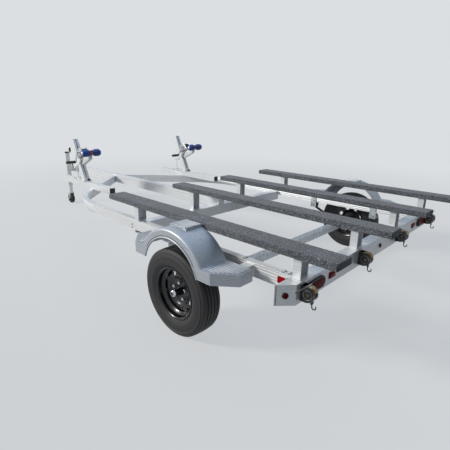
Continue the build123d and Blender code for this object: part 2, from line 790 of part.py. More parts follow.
# The outer wall stands on the middle of its rolled lip, and the foot pad is sunk in the crown
LIP_X = FENDER_OUT - LIP_R
PAD_TOP = FENDER_AXIS_Z + FENDER_R + PAD_RISE

with BuildPart() as fender:
    fender_form(0)
    block((FENDER_IN, FENDER_OUT - PAD_EDGE),
          (ahead(FENDER_MID - PAD_HALF), ahead(FENDER_MID + PAD_HALF)),
          (FENDER_AXIS_Z + FENDER_R / 2, PAD_TOP))
    fender_form(FENDER_T, mode=Mode.SUBTRACT)
    with BuildSketch(fender_side(LIP_X - FENDER_T)) as opening:
        with Locations((0, FENDER_AXIS_Z)):
            Circle(OPENING_R)
    extrude(opening.sketch, amount=2 * FENDER_T, mode=Mode.SUBTRACT)
    with BuildPart(mode=Mode.PRIVATE) as lip:
        with BuildSketch(Plane((0, ahead(FENDER_MID), FENDER_AXIS_Z), x_dir=(1, 0, 0),
                               z_dir=(0, -1, 0))) as bead:
            with Locations((LIP_X, OPENING_R)):
                Circle(LIP_R)
        revolve(bead.sketch, Axis((0, ahead(FENDER_MID), FENDER_AXIS_Z), (1, 0, 0)), 360)
        split(bisect_by=Plane.XY.offset(FENDER_LOW), keep=Keep.TOP)
    add(lip.part)
save_pair(fender, "fender")

# Fender brackets, from the rails' outer faces to under the steps
STRAP_BACK = STEP_END - STRAP_W - STRAP_INSET
with BuildPart() as fender_brackets:
    for side in (-1, 1):
        for end in (-1, 1):
            strap_y = ahead(FENDER_MID + end * STRAP_BACK)
            y = (strap_y - STRAP_W / 2, strap_y + STRAP_W / 2)
            top = STEP_TOP - FENDER_T
            block(sorted((side * RAIL_X, side * (RAIL_X + STRAP_REACH))), y, (top - PLATE_T, top))
            block(sorted((side * RAIL_X, side * (RAIL_X + PLATE_T))), y, (RAIL_Z + PLATE_T, top))
save(fender_brackets, "fender_brackets")

# U-bolts and plates that clamp the springs to the axle
with BuildPart() as axle_clamps:
    plate_z = AXLE_Z - AXLE_SIZE / 2
    bolt_x = SPRING_W / 2 + U_BOLT_R + U_BOLT_GAP
    bolt_y = AXLE_SIZE / 2 + U_BOLT_R + U_BOLT_GAP
    bolt_top = main_top + U_BOLT_R + 2 * U_BOLT_GAP
    for side in (-1, 1):
        spring_x = side * RAIL_MID
        block((spring_x - bolt_x - 2 * U_BOLT_R, spring_x + bolt_x + 2 * U_BOLT_R),
              (AXLE_Y - bolt_y - 2 * U_BOLT_R, AXLE_Y + bolt_y + 2 * U_BOLT_R),
              (plate_z - AXLE_PLATE_T, plate_z))
        for end in (-1, 1):
            y = AXLE_Y + end * bolt_y
            for leg in (-1, 1):
                rod((spring_x + leg * bolt_x, y, plate_z), (0, 0, 1), U_BOLT_R, bolt_top - plate_z)
            rod((spring_x - bolt_x - U_BOLT_R, y, bolt_top), (1, 0, 0), U_BOLT_R,
                2 * (bolt_x + U_BOLT_R))
save(axle_clamps, "axle_clamps")

# Lamps: faces on the rear beam, its cut corners and the front steps
REAR_FACE = ahead(REAR_FRONT - REAR_D)


def rear_plane(x, z):
    """A plane on the rear beam's back face, looking rearward."""
    return Plane((x, REAR_FACE, z), x_dir=(1, 0, 0), z_dir=(0, -1, 0))


def corner_plane(side):
    """A plane on the middle of the rear beam's cut corner."""
    return Plane((side * (REAR_HALF - REAR_CUT / 2), REAR_FACE + REAR_D / 2, LAMP_Z),
                 x_dir=(0, 0, 1), z_dir=(side * REAR_D, -REAR_CUT, 0))


def step_plane(side):
    """A plane on the cut corner of a front step."""
    skin = LIP_X + FENDER_T / 2
    return Plane((side * (skin - STEP_CUT_X / 2), ahead(FENDER_MID + STEP_END - STEP_CUT_Y / 2),
                  (FENDER_LOW + STEP_TOP) / 2),
                 x_dir=(0, 0, 1), z_dir=(side * STEP_CUT_Y, STEP_CUT_X, 0))


def disc_lamp(plane, radius, depth):
    """A round lens on a plane."""
    with BuildSketch(plane) as face:
        Circle(radius)
    extrude(face.sketch, amount=depth)


def ring_lamp(plane, radius, depth):
    """A round grommet on a plane, open for its lens."""
    with BuildSketch(plane) as face:
        Circle(radius + LAMP_RIM / 2)
        Circle(radius, mode=Mode.SUBTRACT)
    extrude(face.sketch, amount=depth)


with BuildPart() as lamp_lenses:
    for side in (-1, 1):
        with BuildSketch(rear_plane(side * LAMP_X, LAMP_Z)) as oval:
            SlotOverall(LAMP_W, LAMP_H)
        extrude(oval.sketch, amount=LAMP_LENS_T)
        disc_lamp(corner_plane(side), MARKER_R, MARKER_T)
    disc_lamp(rear_plane(0, LAMP_Z), MIDDLE_MARKER_R, MARKER_T)
save(lamp_lenses, "lamp_lenses")

with BuildPart() as lamp_grommets:
    for side in (-1, 1):
        with BuildSketch(rear_plane(side * LAMP_X, LAMP_Z)) as oval:
            SlotOverall(LAMP_W + 2 * LAMP_RIM, LAMP_H + 2 * LAMP_RIM)
            SlotOverall(LAMP_W, LAMP_H, mode=Mode.SUBTRACT)
        extrude(oval.sketch, amount=LAMP_RIM_T)
        ring_lamp(corner_plane(side), MARKER_R, MARKER_T / 2)
    ring_lamp(rear_plane(0, LAMP_Z), MIDDLE_MARKER_R, MARKER_T / 2)
save(lamp_grommets, "lamp_grommets")

with BuildPart() as amber_markers:
    for side in (-1, 1):
        disc_lamp(step_plane(side), MARKER_R, MARKER_T)
save(amber_markers, "amber_markers")

with BuildPart() as reflectors:
    for side in (-1, 1):
        with BuildSketch(rear_plane(side * REFLECTOR_X, LAMP_Z)) as face:
            Rectangle(REFLECTOR_W, REFLECTOR_H)
        extrude(face.sketch, amount=REFLECTOR_T)
        rail_face = Plane((side * RAIL_X, ahead(SIDE_REFLECTOR), RAIL_Z + RAIL_H / 2),
                          x_dir=(0, side, 0), z_dir=(side, 0, 0))
        with BuildSketch(rail_face) as face:
            Rectangle(REFLECTOR_W, REFLECTOR_H)
        extrude(face.sketch, amount=REFLECTOR_T)
save(reflectors, "reflectors")

# Retractable tie-downs: a reel on a plate, with a hook hanging beside it
with BuildPart() as tie_downs:
    for tie_x in (-TIE_OUTER, -TIE_INNER, TIE_INNER, TIE_OUTER):
        block((tie_x - REEL_W / 2, tie_x + REEL_W / 2), (REAR_FACE - PLATE_T, REAR_FACE),
              (REEL_Z - REEL_R - PLATE_T, REEL_Z + REEL_R + PLATE_T))
        reel_y = REAR_FACE - REEL_R - PLATE_T / 2
        rod((tie_x - REEL_W / 2, reel_y, REEL_Z), (1, 0, 0), REEL_R, REEL_W)
        hook_x = tie_x + REEL_W / 2
        rod((hook_x - HOOK_R, reel_y, REEL_Z - REEL_R / 2), (1, 0, 0), HOOK_R, 4 * HOOK_R)
        top = (hook_x + 2 * HOOK_R, reel_y, REEL_Z - REEL_R / 2)
        bend = (top[0], reel_y, top[2] - HOOK_DROP)
        with BuildLine() as hook_path:
            Line(top, bend)
            ThreePointArc(bend, (top[0], reel_y - HOOK_BEND_R, bend[2] - HOOK_BEND_R),
                          (top[0], reel_y - 2 * HOOK_BEND_R, bend[2]))
        with BuildSketch(Plane(top, z_dir=(0, 0, -1))) as wire:
            Circle(HOOK_R)
        sweep(wire.sketch, path=hook_path.line)
save(tie_downs, "tie_downs")

# Coupler: a cover over the tongue's end, a neck and a ball socket
SOCKET_R = BALL_R + BALL_CLEARANCE
SOCKET_Y = ahead(NOSE - SOCKET_R - SOCKET_T)
SOCKET_Z = BEAM_Z + SOCKET_RISE
with BuildPart() as coupler:
    end_y = ahead(TONGUE_END)
    block((-BEAM_W / 2 - SOCKET_T, BEAM_W / 2 + SOCKET_T),
          (end_y - COUPLER_LAP, end_y + SOCKET_T),
          (BEAM_TOP - COUPLER_H, BEAM_TOP + SOCKET_T))
    block((-BEAM_W / 2, BEAM_W / 2), (end_y - COUPLER_LAP, end_y), (BEAM_Z, BEAM_TOP),
          mode=Mode.SUBTRACT)
    outer_r = SOCKET_R + SOCKET_T
    block((-outer_r, outer_r), (end_y, SOCKET_Y), (SOCKET_Z - SOCKET_DROP, SOCKET_Z + outer_r))
    rod((0, SOCKET_Y, SOCKET_Z - SOCKET_DROP), (0, 0, 1), outer_r, SOCKET_DROP + outer_r / 2)
    with Locations((0, SOCKET_Y, SOCKET_Z)):
        Sphere(outer_r)
    rod((0, SOCKET_Y, SOCKET_Z - outer_r - SOCKET_T), (0, 0, 1), outer_r + 1,
        outer_r + SOCKET_T - SOCKET_DROP, mode=Mode.SUBTRACT)
    rod((0, SOCKET_Y, SOCKET_Z - SOCKET_DROP), (0, 0, 1), SOCKET_R, SOCKET_DROP, mode=Mode.SUBTRACT)
    with Locations((0, SOCKET_Y, SOCKET_Z)):
        Sphere(SOCKET_R, mode=Mode.SUBTRACT)
    latch_z = SOCKET_Z + outer_r
    block((-SOCKET_T, SOCKET_T), (end_y + SOCKET_T, SOCKET_Y - outer_r / 2),
          (latch_z, latch_z + 3 * SOCKET_T))
    rod((0, SOCKET_Y - outer_r / 2, latch_z + 2 * SOCKET_T),
        (0, -cos(radians(LATCH_RISE)), sin(radians(LATCH_RISE))), LATCH_R, LATCH_LENGTH)
save(coupler, "coupler")

# Jack: a swivel mount, a tube that swings up to the rear, a leg that slides and a caster.
# The caster's wheel stands ahead of the leg, as it does once the trailer is pushed back into its
# place, so that the load holds the tube against its stop.
JACK_X = -(BEAM_W / 2 + JACK_SIDE)
JACK_AT = ahead(JACK_Y)
PIVOT_IN = -BEAM_W / 2 - PLATE_T
DISC_OUT = PIVOT_IN - JACK_HUB_T
ARM_DISC = DISC_OUT - GAP - JACK_HUB_T
PIN_END = ARM_DISC - JACK_HUB_T

with BuildPart() as jack_bracket:
    block((PIVOT_IN, -BEAM_W / 2), (JACK_AT - JACK_PLATE_HALF, JACK_AT + JACK_PLATE_HALF),
          (BEAM_Z, BEAM_TOP))
    rod((PIVOT_IN, JACK_AT, JACK_Z), (-1, 0, 0), JACK_HUB_R, JACK_HUB_T)
    rod((PIVOT_IN, JACK_AT, JACK_Z), (-1, 0, 0), JACK_PIN_R, PIVOT_IN - PIN_END)
save(jack_bracket, "jack_bracket")

LEG_BORE = JACK_LEG_R + JACK_LEG_GAP
with BuildPart() as jack_tube:
    rod((DISC_OUT - GAP, JACK_AT, JACK_Z), (-1, 0, 0), JACK_HUB_R, JACK_HUB_T)
    block((JACK_X, ARM_DISC), (JACK_AT - JACK_TUBE_R, JACK_AT + JACK_TUBE_R),
          (JACK_Z - JACK_TUBE_R, JACK_Z + JACK_TUBE_R))
    rod((JACK_X, JACK_AT, JACK_Z - JACK_TUBE_LOW), (0, 0, 1), JACK_TUBE_R,
        JACK_TUBE_LOW + JACK_TUBE_TOP)
    rod((JACK_X, JACK_AT, JACK_Z - JACK_TUBE_LOW), (0, 0, 1), LEG_BORE,
        JACK_TUBE_LOW + JACK_TUBE_TOP - JACK_TUBE_WALL, mode=Mode.SUBTRACT)
    rod((DISC_OUT, JACK_AT, JACK_Z), (-1, 0, 0), JACK_PIN_R + SPINDLE_GAP,
        DISC_OUT - PIN_END + GAP, mode=Mode.SUBTRACT)
    top_z = JACK_Z + JACK_TUBE_TOP
    rod((JACK_X, JACK_AT, top_z), (0, 0, 1), JACK_TUBE_R + JACK_TUBE_WALL, JACK_HUB_T)
    block((JACK_X - CRANK_W / 2, JACK_X + CRANK_W / 2), (JACK_AT - JACK_CRANK, JACK_AT),
          (top_z + JACK_HUB_T, top_z + JACK_HUB_T + CRANK_T))
    rod((JACK_X, JACK_AT - JACK_CRANK + CRANK_W / 2, top_z + JACK_HUB_T + CRANK_T), (0, 0, 1),
        CRANK_W / 2, 3 * CRANK_W)
save(jack_tube, "jack_tube")

FORK_TOP_Z = 2 * JACK_WHEEL_R + FORK_TOP + FORK_T
SPIGOT_R = 8
LEG_TOP = JACK_Z + JACK_TUBE_TOP / 2
with BuildPart() as jack_leg:
    rod((JACK_X, JACK_AT, FORK_TOP_Z + GAP), (0, 0, 1), JACK_LEG_R, LEG_TOP - FORK_TOP_Z - GAP)
    rod((JACK_X, JACK_AT, FORK_TOP_Z - FORK_T - GAP), (0, 0, 1), SPIGOT_R, FORK_T + 2 * GAP)
    rod((JACK_X, JACK_AT, FORK_TOP_Z - FORK_T - GAP), (0, 0, -1), SPIGOT_R + 3, FORK_T - 1)
save(jack_leg, "jack_leg")

FORK_IN = JACK_WHEEL_W / 2 + 2
CASTER_PIN_R = 6
with BuildPart() as jack_fork:
    block((JACK_X - FORK_IN - FORK_T, JACK_X + FORK_IN + FORK_T),
          (JACK_AT - FORK_W / 2, JACK_AT + FORK_W / 2 + JACK_TRAIL / 2),
          (FORK_TOP_Z - FORK_T, FORK_TOP_Z))
    for side in (-1, 1):
        start_x = JACK_X + (FORK_IN if side > 0 else -FORK_IN - FORK_T)
        cheek_plane = Plane((start_x, JACK_AT, 0), x_dir=(0, 1, 0), z_dir=(1, 0, 0))
        with BuildSketch(cheek_plane) as cheek:
            with BuildLine():
                Polyline(
                    (-FORK_W / 2, FORK_TOP_Z),
                    (FORK_W / 2 + JACK_TRAIL / 2, FORK_TOP_Z),
                    (JACK_TRAIL + 2 * CASTER_PIN_R, JACK_WHEEL_R - 2 * CASTER_PIN_R),
                    (JACK_TRAIL - 2 * CASTER_PIN_R, JACK_WHEEL_R - 2 * CASTER_PIN_R),
                    close=True,
                )
            make_face()
        extrude(cheek.sketch, amount=FORK_T)
    rod((JACK_X - FORK_IN - 2 * FORK_T, JACK_AT + JACK_TRAIL, JACK_WHEEL_R), (1, 0, 0), CASTER_PIN_R,
        2 * FORK_IN + 4 * FORK_T)
    rod((JACK_X, JACK_AT, FORK_TOP_Z - FORK_T), (0, 0, 1), SPIGOT_R + SPINDLE_GAP, FORK_T,
        mode=Mode.SUBTRACT)
save(jack_fork, "jack_fork")

with BuildPart() as jack_wheel:
    rod((JACK_X - JACK_WHEEL_W / 2, JACK_AT + JACK_TRAIL, JACK_WHEEL_R), (1, 0, 0), JACK_WHEEL_R,
        JACK_WHEEL_W)
    fillet(jack_wheel.edges().filter_by(GeomType.CIRCLE), JACK_WHEEL_ROUND)
    rod((JACK_X - JACK_WHEEL_W / 2, JACK_AT + JACK_TRAIL, JACK_WHEEL_R), (1, 0, 0),
        CASTER_PIN_R + SPINDLE_GAP, JACK_WHEEL_W, mode=Mode.SUBTRACT)
save(jack_wheel, "jack_wheel")
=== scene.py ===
import json
import math

import bpy
from bpy.props import FloatProperty, FloatVectorProperty, IntProperty, PointerProperty, StringProperty
from mathutils import Matrix, Vector


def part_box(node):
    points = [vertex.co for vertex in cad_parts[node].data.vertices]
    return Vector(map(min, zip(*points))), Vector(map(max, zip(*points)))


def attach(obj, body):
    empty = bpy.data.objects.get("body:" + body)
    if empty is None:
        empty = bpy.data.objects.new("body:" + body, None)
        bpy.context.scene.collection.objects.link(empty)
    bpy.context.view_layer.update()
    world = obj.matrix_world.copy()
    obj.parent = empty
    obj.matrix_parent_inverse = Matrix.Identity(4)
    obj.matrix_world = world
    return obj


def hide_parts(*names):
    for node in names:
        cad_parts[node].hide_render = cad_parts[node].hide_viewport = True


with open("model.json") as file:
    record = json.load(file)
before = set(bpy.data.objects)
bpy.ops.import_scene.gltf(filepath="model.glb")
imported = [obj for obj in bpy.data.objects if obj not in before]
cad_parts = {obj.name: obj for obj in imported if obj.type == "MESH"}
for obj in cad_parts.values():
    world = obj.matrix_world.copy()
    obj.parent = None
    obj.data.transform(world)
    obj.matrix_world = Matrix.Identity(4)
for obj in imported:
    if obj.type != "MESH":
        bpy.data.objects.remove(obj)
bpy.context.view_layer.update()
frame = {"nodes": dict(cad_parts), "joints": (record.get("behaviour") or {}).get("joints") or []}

bl_info = {
    "name": "Twin Watercraft Trailer",
    "version": (1, 0, 0),
    "blender": (4, 5, 0),
    "location": "View3D > Sidebar > Trailer",
    "description": "Dresses the packed boat trailer and sets its stage",
    "category": "Object",
}

MM = 0.001
X, Y, Z = Vector((1, 0, 0)), Vector((0, 1, 0)), Vector((0, 0, 1))
ORIGIN = Vector((0, 0, 0))
SIDES = (("left", -1), ("right", 1))

# Places that pieces share, in metres from the trailer's middle and above the ground
RAIL_X = 0.987
INNER_BUNK_X = 0.327
STAND_X = 0.661
REELS_X = (-1.015, -0.330, 0.330, 1.015)
REEL_Z = 0.512
LAMP_X = 0.885
LAMP_Z = 0.508
TREAD_RISE = 0.073
ARCH_Z = 0.405
JACK = Vector((-0.153, 2.290, 0))
PIVOT_Z = 0.532

# How far apart the tread plates' ribs are, and how far in the first one is
RIB_PITCH = 0.0172
RIB_INSET = 0.012


# Tools shared by the operators

def only(*objects):
    """Select these objects and nothing else."""
    if bpy.context.object and bpy.context.object.mode != "OBJECT":
        bpy.ops.object.mode_set(mode="OBJECT")
    bpy.ops.object.select_all(action="DESELECT")
    for item in objects:
        item.select_set(True)
        bpy.context.view_layer.objects.active = item


def edit():
    bpy.ops.object.mode_set(mode="EDIT")


def leave(limit=32):
    """Close the mesh, put its place into it and smooth its gentle edges."""
    bpy.ops.mesh.select_all(action="SELECT")
    bpy.ops.mesh.remove_doubles(threshold=1e-6)
    bpy.ops.mesh.normals_make_consistent(inside=False)
    bpy.ops.object.mode_set(mode="OBJECT")
    bpy.ops.object.transform_apply(location=True, rotation=True, scale=True)
    bpy.ops.object.shade_smooth_by_angle(angle=math.radians(limit))
    return bpy.context.object


def trace(points):
    """A chain of vertices, drawn by extruding the last one from point to point."""
    only()
    bpy.ops.mesh.primitive_plane_add(size=MM, location=points[0])
    edit()
    bpy.ops.mesh.merge(type="CENTER")
    for before, after in zip(points, points[1:]):
        bpy.ops.mesh.extrude_vertices_move(TRANSFORM_OT_translate={"value": Vector(after) - Vector(before)})


def even(*half):
    """A profile that is the same at both ends, from one half of it."""
    return [(-a, r) for a, r in half] + [(a, r) for a, r in reversed(half)]


def lathe(profile, centre, axis, steps=48, limit=32):
    """Spin a profile of distances along and out from an axis into a turned piece."""
    axis = Vector(axis).normalized()
    out = axis.orthogonal().normalized()
    centre = Vector(centre)
    trace([centre + axis * a * MM + out * r * MM for a, r in profile])
    bpy.ops.mesh.select_all(action="SELECT")
    bpy.ops.mesh.spin(steps=steps, angle=math.tau, center=centre, axis=axis)
    return leave(limit)


def round_edges(width, segments=2, sharp=30):
    bpy.ops.mesh.select_all(action="DESELECT")
    bpy.ops.mesh.select_mode(type="EDGE")
    bpy.ops.mesh.edges_select_sharp(sharpness=math.radians(sharp))
    bpy.ops.mesh.bevel(offset=width * MM, segments=segments, affect="EDGES", clamp_overlap=True)
    bpy.ops.mesh.select_mode(type="VERT")


def prism(points, depth, edge=0.0, segments=2):
    """A plate with a drawn outline, pushed to its thickness, its edges rounded."""
    points = [Vector(p) for p in points]
    trace(points + [points[0]])
    bpy.ops.mesh.select_all(action="SELECT")
    bpy.ops.mesh.remove_doubles(threshold=1e-7)
    bpy.ops.mesh.select_all(action="SELECT")
    bpy.ops.mesh.edge_face_add()
    bpy.ops.mesh.extrude_region_move(TRANSFORM_OT_translate={"value": Vector(depth)})
    bpy.ops.mesh.select_all(action="SELECT")
    bpy.ops.mesh.normals_make_consistent(inside=False)
    if edge:
        round_edges(edge, segments)
    return leave()


def block(low, high, edge=1.0, segments=2):
    """A box between two corners in metres, with its edges rounded."""
    low, high = Vector(low), Vector(high)
    only()
    bpy.ops.mesh.primitive_cube_add(size=1, location=(low + high) / 2)
    bpy.context.object.scale = high - low
    bpy.ops.object.transform_apply(location=True, rotation=True, scale=True)
    edit()
    round_edges(edge, segments)
    return leave()


def tube(points, radius, closed=False):
    """A round bar along a path: a smooth one that is open, or a closed one with straight runs."""
    only()
    bpy.ops.curve.primitive_nurbs_path_add()
    curve = bpy.context.object.data
    curve.splines.clear()
    spline = curve.splines.new("POLY" if closed else "NURBS")
    spline.points.add(len(points) - 1)
    for point, place in zip(spline.points, points):
        point.co = (*place, 1)
    if closed:
        spline.use_cyclic_u = True
    else:
        spline.order_u = 3
        spline.use_endpoint_u = True
    curve.dimensions = "3D"
    curve.bevel_depth = radius * MM
    curve.bevel_resolution = 4
    curve.use_fill_caps = not closed
    bpy.ops.object.convert(target="MESH")
    edit()
    return leave(40)


def turned(piece, matrix):
    """A copy of a piece with its own mesh, moved by a matrix."""
    copy = piece.copy()
    copy.data = piece.data.copy()
    copy.data.transform(matrix)
    if matrix.determinant() < 0:
        copy.data.flip_normals()
    bpy.context.scene.collection.objects.link(copy)
    return copy


def drop(piece):
    bpy.data.objects.remove(piece, do_unlink=True)


def spread(piece, matrices):
    """Copies of one piece at several places; the pattern itself goes."""
    made = [turned(piece, matrix) for matrix in matrices]
    drop(piece)
    return made


def aim(place, direction, spin=0.0):
    """The matrix that takes a piece made at the origin along +Z to a place and direction."""
    turn = Z.rotation_difference(Vector(direction).normalized()).to_matrix().to_4x4()
    return Matrix.Translation(Vector(place)) @ turn @ Matrix.Rotation(spin, 4, "Z")


def ring(count):
    """The cosine and sine of even steps round a circle."""
    return [(math.cos(math.tau * n / count), math.sin(math.tau * n / count)) for n in range(count)]


def measured(centre, across=X, along=Y, above=Z):
    """A function that takes three distances in millimetres from a centre to their place."""
    return lambda a, b, c: centre + across * a * MM + along * b * MM + above * c * MM


def box(node):
    """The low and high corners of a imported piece."""
    low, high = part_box(node)
    return Vector(low), Vector(high)


def middle(node):
    low, high = box(node)
    return (low + high) / 2


def joined(pieces, name):
    only(*pieces)
    bpy.context.view_layer.objects.active = pieces[0]
    if len(pieces) > 1:
        bpy.ops.object.join()
    piece = bpy.context.object
    piece.name = piece.data.name = name
    return piece


def done(pieces, name, finish, body="frame", replaces=()):
    """Join finished pieces under one name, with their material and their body."""
    piece = joined(pieces if isinstance(pieces, list) else [pieces], name)
    material, usual = FINISH[finish]
    piece.data.materials.clear()
    piece.data.materials.append(material)
    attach(piece, body)
    if replaces:
        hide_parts(*replaces)


# Materials

def linear(code):
    """An sRGB hex colour as linear red, green, blue and alpha."""
    parts = [int(code[i:i + 2], 16) / 255 for i in (1, 3, 5)]
    return (*[p / 12.92 if p <= 0.04045 else ((p + 0.055) / 1.055) ** 2.4 for p in parts], 1.0)


def tones(code, *steps):
    """A colour ramp's stops: a hex colour made darker or lighter at each place."""
    parts = [int(code[i:i + 2], 16) for i in (1, 3, 5)]
    return [(place, "#" + "".join(f"{min(255, round(part * factor)):02x}" for part in parts))
            for place, factor in steps]


def add(tree, kind, settings=(), take=0, **inputs):
    """Add one node with its settings, link or set its inputs by name or number, and give one output."""
    made = tree.nodes.new("ShaderNode" + kind)
    for name, value in dict(settings).items():
        if name == "stops":
            stops = made.color_ramp.elements
            while len(stops) < len(value):
                stops.new(0.5)
            for stop, (place, code) in zip(stops, value):
                stop.position, stop.color = place, linear(code)
        else:
            setattr(made, name, value)
    for name, value in inputs.items():
        socket = made.inputs[int(name[1:]) if name[0] == "_" else name.replace("_", " ")]
        if isinstance(value, bpy.types.NodeSocket):
            tree.links.new(value, socket)
        else:
            socket.default_value = value
    return made if take is None else made.outputs[take]


def material(name, surface, *values):
    """A new material, whose surface is made from the object's own coordinates in metres."""
    made = bpy.data.materials.new(name)
    made.use_nodes = True
    tree = made.node_tree
    tree.nodes.clear()
    place = add(tree, "TexCoord", take="Object")
    add(tree, "OutputMaterial", take=None, Surface=surface(tree, place, *values))
    return made


def extruded_aluminium(tree, place, colour, ribs=False):
    """Mill-finish aluminium extrusion: pale, faintly streaked by the die, with dull handling marks."""
    drawn = add(tree, "Mapping", Vector=place, Scale=(60, 2, 420))
    streaks = add(tree, "TexNoise", Vector=drawn, Scale=1, Detail=4, Roughness=0.55)
    marks = add(tree, "TexNoise", Vector=place, Scale=9, Detail=4, Roughness=0.55)
    tone = add(tree, "ValToRGB", {"stops": tones(colour, (0.3, 0.9), (0.55, 1), (0.75, 1.04))}, Fac=streaks)
    normal = add(tree, "Bump", Height=streaks, Distance=0.0003, Strength=0.4)
    if ribs:
        # The die leaves ribs 4 mm apart, drawn 18 mm apart so that they show in the render
        wave = add(tree, "TexWave", {"bands_direction": "Z"}, "Fac", Vector=place,
                   Scale=math.tau / 20 / 0.018, Distortion=0)
        normal = add(tree, "Bump", Height=wave, Distance=0.002, Strength=0.9, Normal=normal)
    rough = add(tree, "MapRange", Value=marks, To_Min=0.34, To_Max=0.46)
    return add(tree, "BsdfPrincipled", Base_Color=tone, Metallic=0.3, Roughness=rough, Normal=normal)


def bright_zinc(tree, place, colour):
    """Zinc-plated steel: silvery with a faint warm and blue cast."""
    cloud = add(tree, "TexNoise", Vector=place, Scale=22, Detail=4, Roughness=0.55)
    stops = tones(colour, (0.3, 0.88), (0.52, 1)) + [(0.7, "#cfcabb")]
    tone = add(tree, "ValToRGB", {"stops": stops}, Fac=cloud)
    rough = add(tree, "MapRange", Value=cloud, To_Min=0.26, To_Max=0.42)
    grain = add(tree, "TexNoise", Vector=place, Scale=400, Detail=3, Roughness=0.55)
    normal = add(tree, "Bump", Height=grain, Distance=0.0002, Strength=0.3)
    return add(tree, "BsdfPrincipled", Base_Color=tone, Metallic=0.92, Roughness=rough, Normal=normal)


def galvanised_steel(tree, place, colour):
    """Hot-dip galvanised steel: grey with flat zinc crystals 8 mm across."""
    cells = add(tree, "TexVoronoi", {"feature": "F1"}, "Color", Vector=place, Scale=1 / 0.008)
    grey = add(tree, "RGBToBW", Color=cells)
    tone = add(tree, "ValToRGB", {"stops": tones(colour, (0.2, 0.8), (0.8, 1.12))}, Fac=grey)
    rough = add(tree, "MapRange", Value=grey, To_Min=0.4, To_Max=0.6)
    grain = add(tree, "TexNoise", Vector=place, Scale=150, Detail=3, Roughness=0.55)
    normal = add(tree, "Bump", Height=grain, Distance=0.0004, Strength=0.3)
    return add(tree, "BsdfPrincipled", Base_Color=tone, Metallic=0.8, Roughness=rough, Normal=normal)


def gloss_enamel(tree, place, colour):
    """Baked gloss enamel on pressed steel, with a little dust and orange peel."""
    dust = add(tree, "TexNoise", Vector=place, Scale=14, Detail=5, Roughness=0.55)
    tone = add(tree, "ValToRGB", {"stops": tones(colour, (0.45, 1), (0.8, 1.9))}, Fac=dust)
    peel = add(tree, "TexNoise", Vector=place, Scale=260, Detail=2, Roughness=0.55)
    normal = add(tree, "Bump", Height=peel, Distance=0.0004, Strength=0.25)
    return add(tree, "BsdfPrincipled", Base_Color=tone, Roughness=0.28, Specular_IOR_Level=0.35,
               Coat_Weight=0.35, Coat_Roughness=0.1, Normal=normal)


def tyre_rubber(tree, place, colour, centre, blocks):
    """Carbon-black rubber: a dusty sidewall that darkens to the bead, with painted highlights on its rings
    and painted shade over the tread.
    """
    dust = add(tree, "TexNoise", Vector=place, Scale=11, Detail=6, Roughness=0.6)
    flat = add(tree, "VectorMath", {"operation": "MULTIPLY_ADD"}, _0=place, _1=(0, 1, 1),
               _2=(0, -centre.y, -centre.z))
    out = add(tree, "VectorMath", {"operation": "LENGTH"}, "Value", _0=flat)
    share = add(tree, "MapRange", Value=out, From_Min=0.176, From_Max=0.296)
    # The lighter stops on the sidewall's rings are painted highlights, and the darker stops over the tread
    # are painted shade
    rings = tones(colour, (0, 0.6), (0.16, 1.5), (0.32, 1.15), (0.55, 0.8), (0.63, 1.45), (0.72, 1.6),
                  (0.79, 0.8), (0.9, 0.55))
    painted_light_band = add(tree, "ValToRGB", {"stops": rings}, Fac=share)
    # Grey dust sits on the tread blocks, and the slots between them are painted dark as shade
    parts = add(tree, "SeparateXYZ", take=None, Vector=flat).outputs
    turn = add(tree, "Math", {"operation": "ARCTAN2"}, _0=parts["Z"], _1=parts["Y"])
    count = add(tree, "Math", {"operation": "MULTIPLY"}, _0=turn, _1=blocks / math.tau)
    along = add(tree, "Math", {"operation": "FRACT"}, _0=count)
    stops = tones(colour, (0, 0.3), (0.33, 0.3), (0.4, 1.7), (0.93, 1.7), (1, 0.3))
    block_dust_and_slot_shade = add(tree, "ValToRGB", {"stops": stops}, Fac=along)
    over = add(tree, "MapRange", Value=share, From_Min=0.8, From_Max=0.86)
    past = add(tree, "MapRange", Value=share, From_Min=0.93, From_Max=0.985, To_Min=1, To_Max=0.25)
    edge = add(tree, "Math", {"operation": "MULTIPLY"}, _0=over, _1=past)
    painted_light_band = add(tree, "Mix", {"data_type": "RGBA"}, 2, Factor=edge, _6=painted_light_band, _7=block_dust_and_slot_shade)
    dusty = add(tree, "ValToRGB", {"stops": ((0.3, "#c4c4c4"), (0.7, "#ffffff"))}, Fac=dust)
    tone = add(tree, "Mix", {"data_type": "RGBA", "blend_type": "MULTIPLY"}, 2, Factor=1, _6=painted_light_band, _7=dusty)
    rough = add(tree, "MapRange", Value=dust, To_Min=0.55, To_Max=0.75)
    grain = add(tree, "TexNoise", Vector=place, Scale=500, Detail=2, Roughness=0.55)
    normal = add(tree, "Bump", Height=grain, Distance=0.0003, Strength=0.35)
    return add(tree, "BsdfPrincipled", Base_Color=tone, Roughness=rough, Normal=normal)


def chrome(tree, place, colour):
    """Chrome plate on a pressed cap, with faint water spots."""
    spots = add(tree, "TexNoise", Vector=place, Scale=60, Detail=5, Roughness=0.55)
    rough = add(tree, "MapRange", Value=spots, To_Min=0.06, To_Max=0.2)
    return add(tree, "BsdfPrincipled", Base_Color=linear(colour), Metallic=1, Roughness=rough)


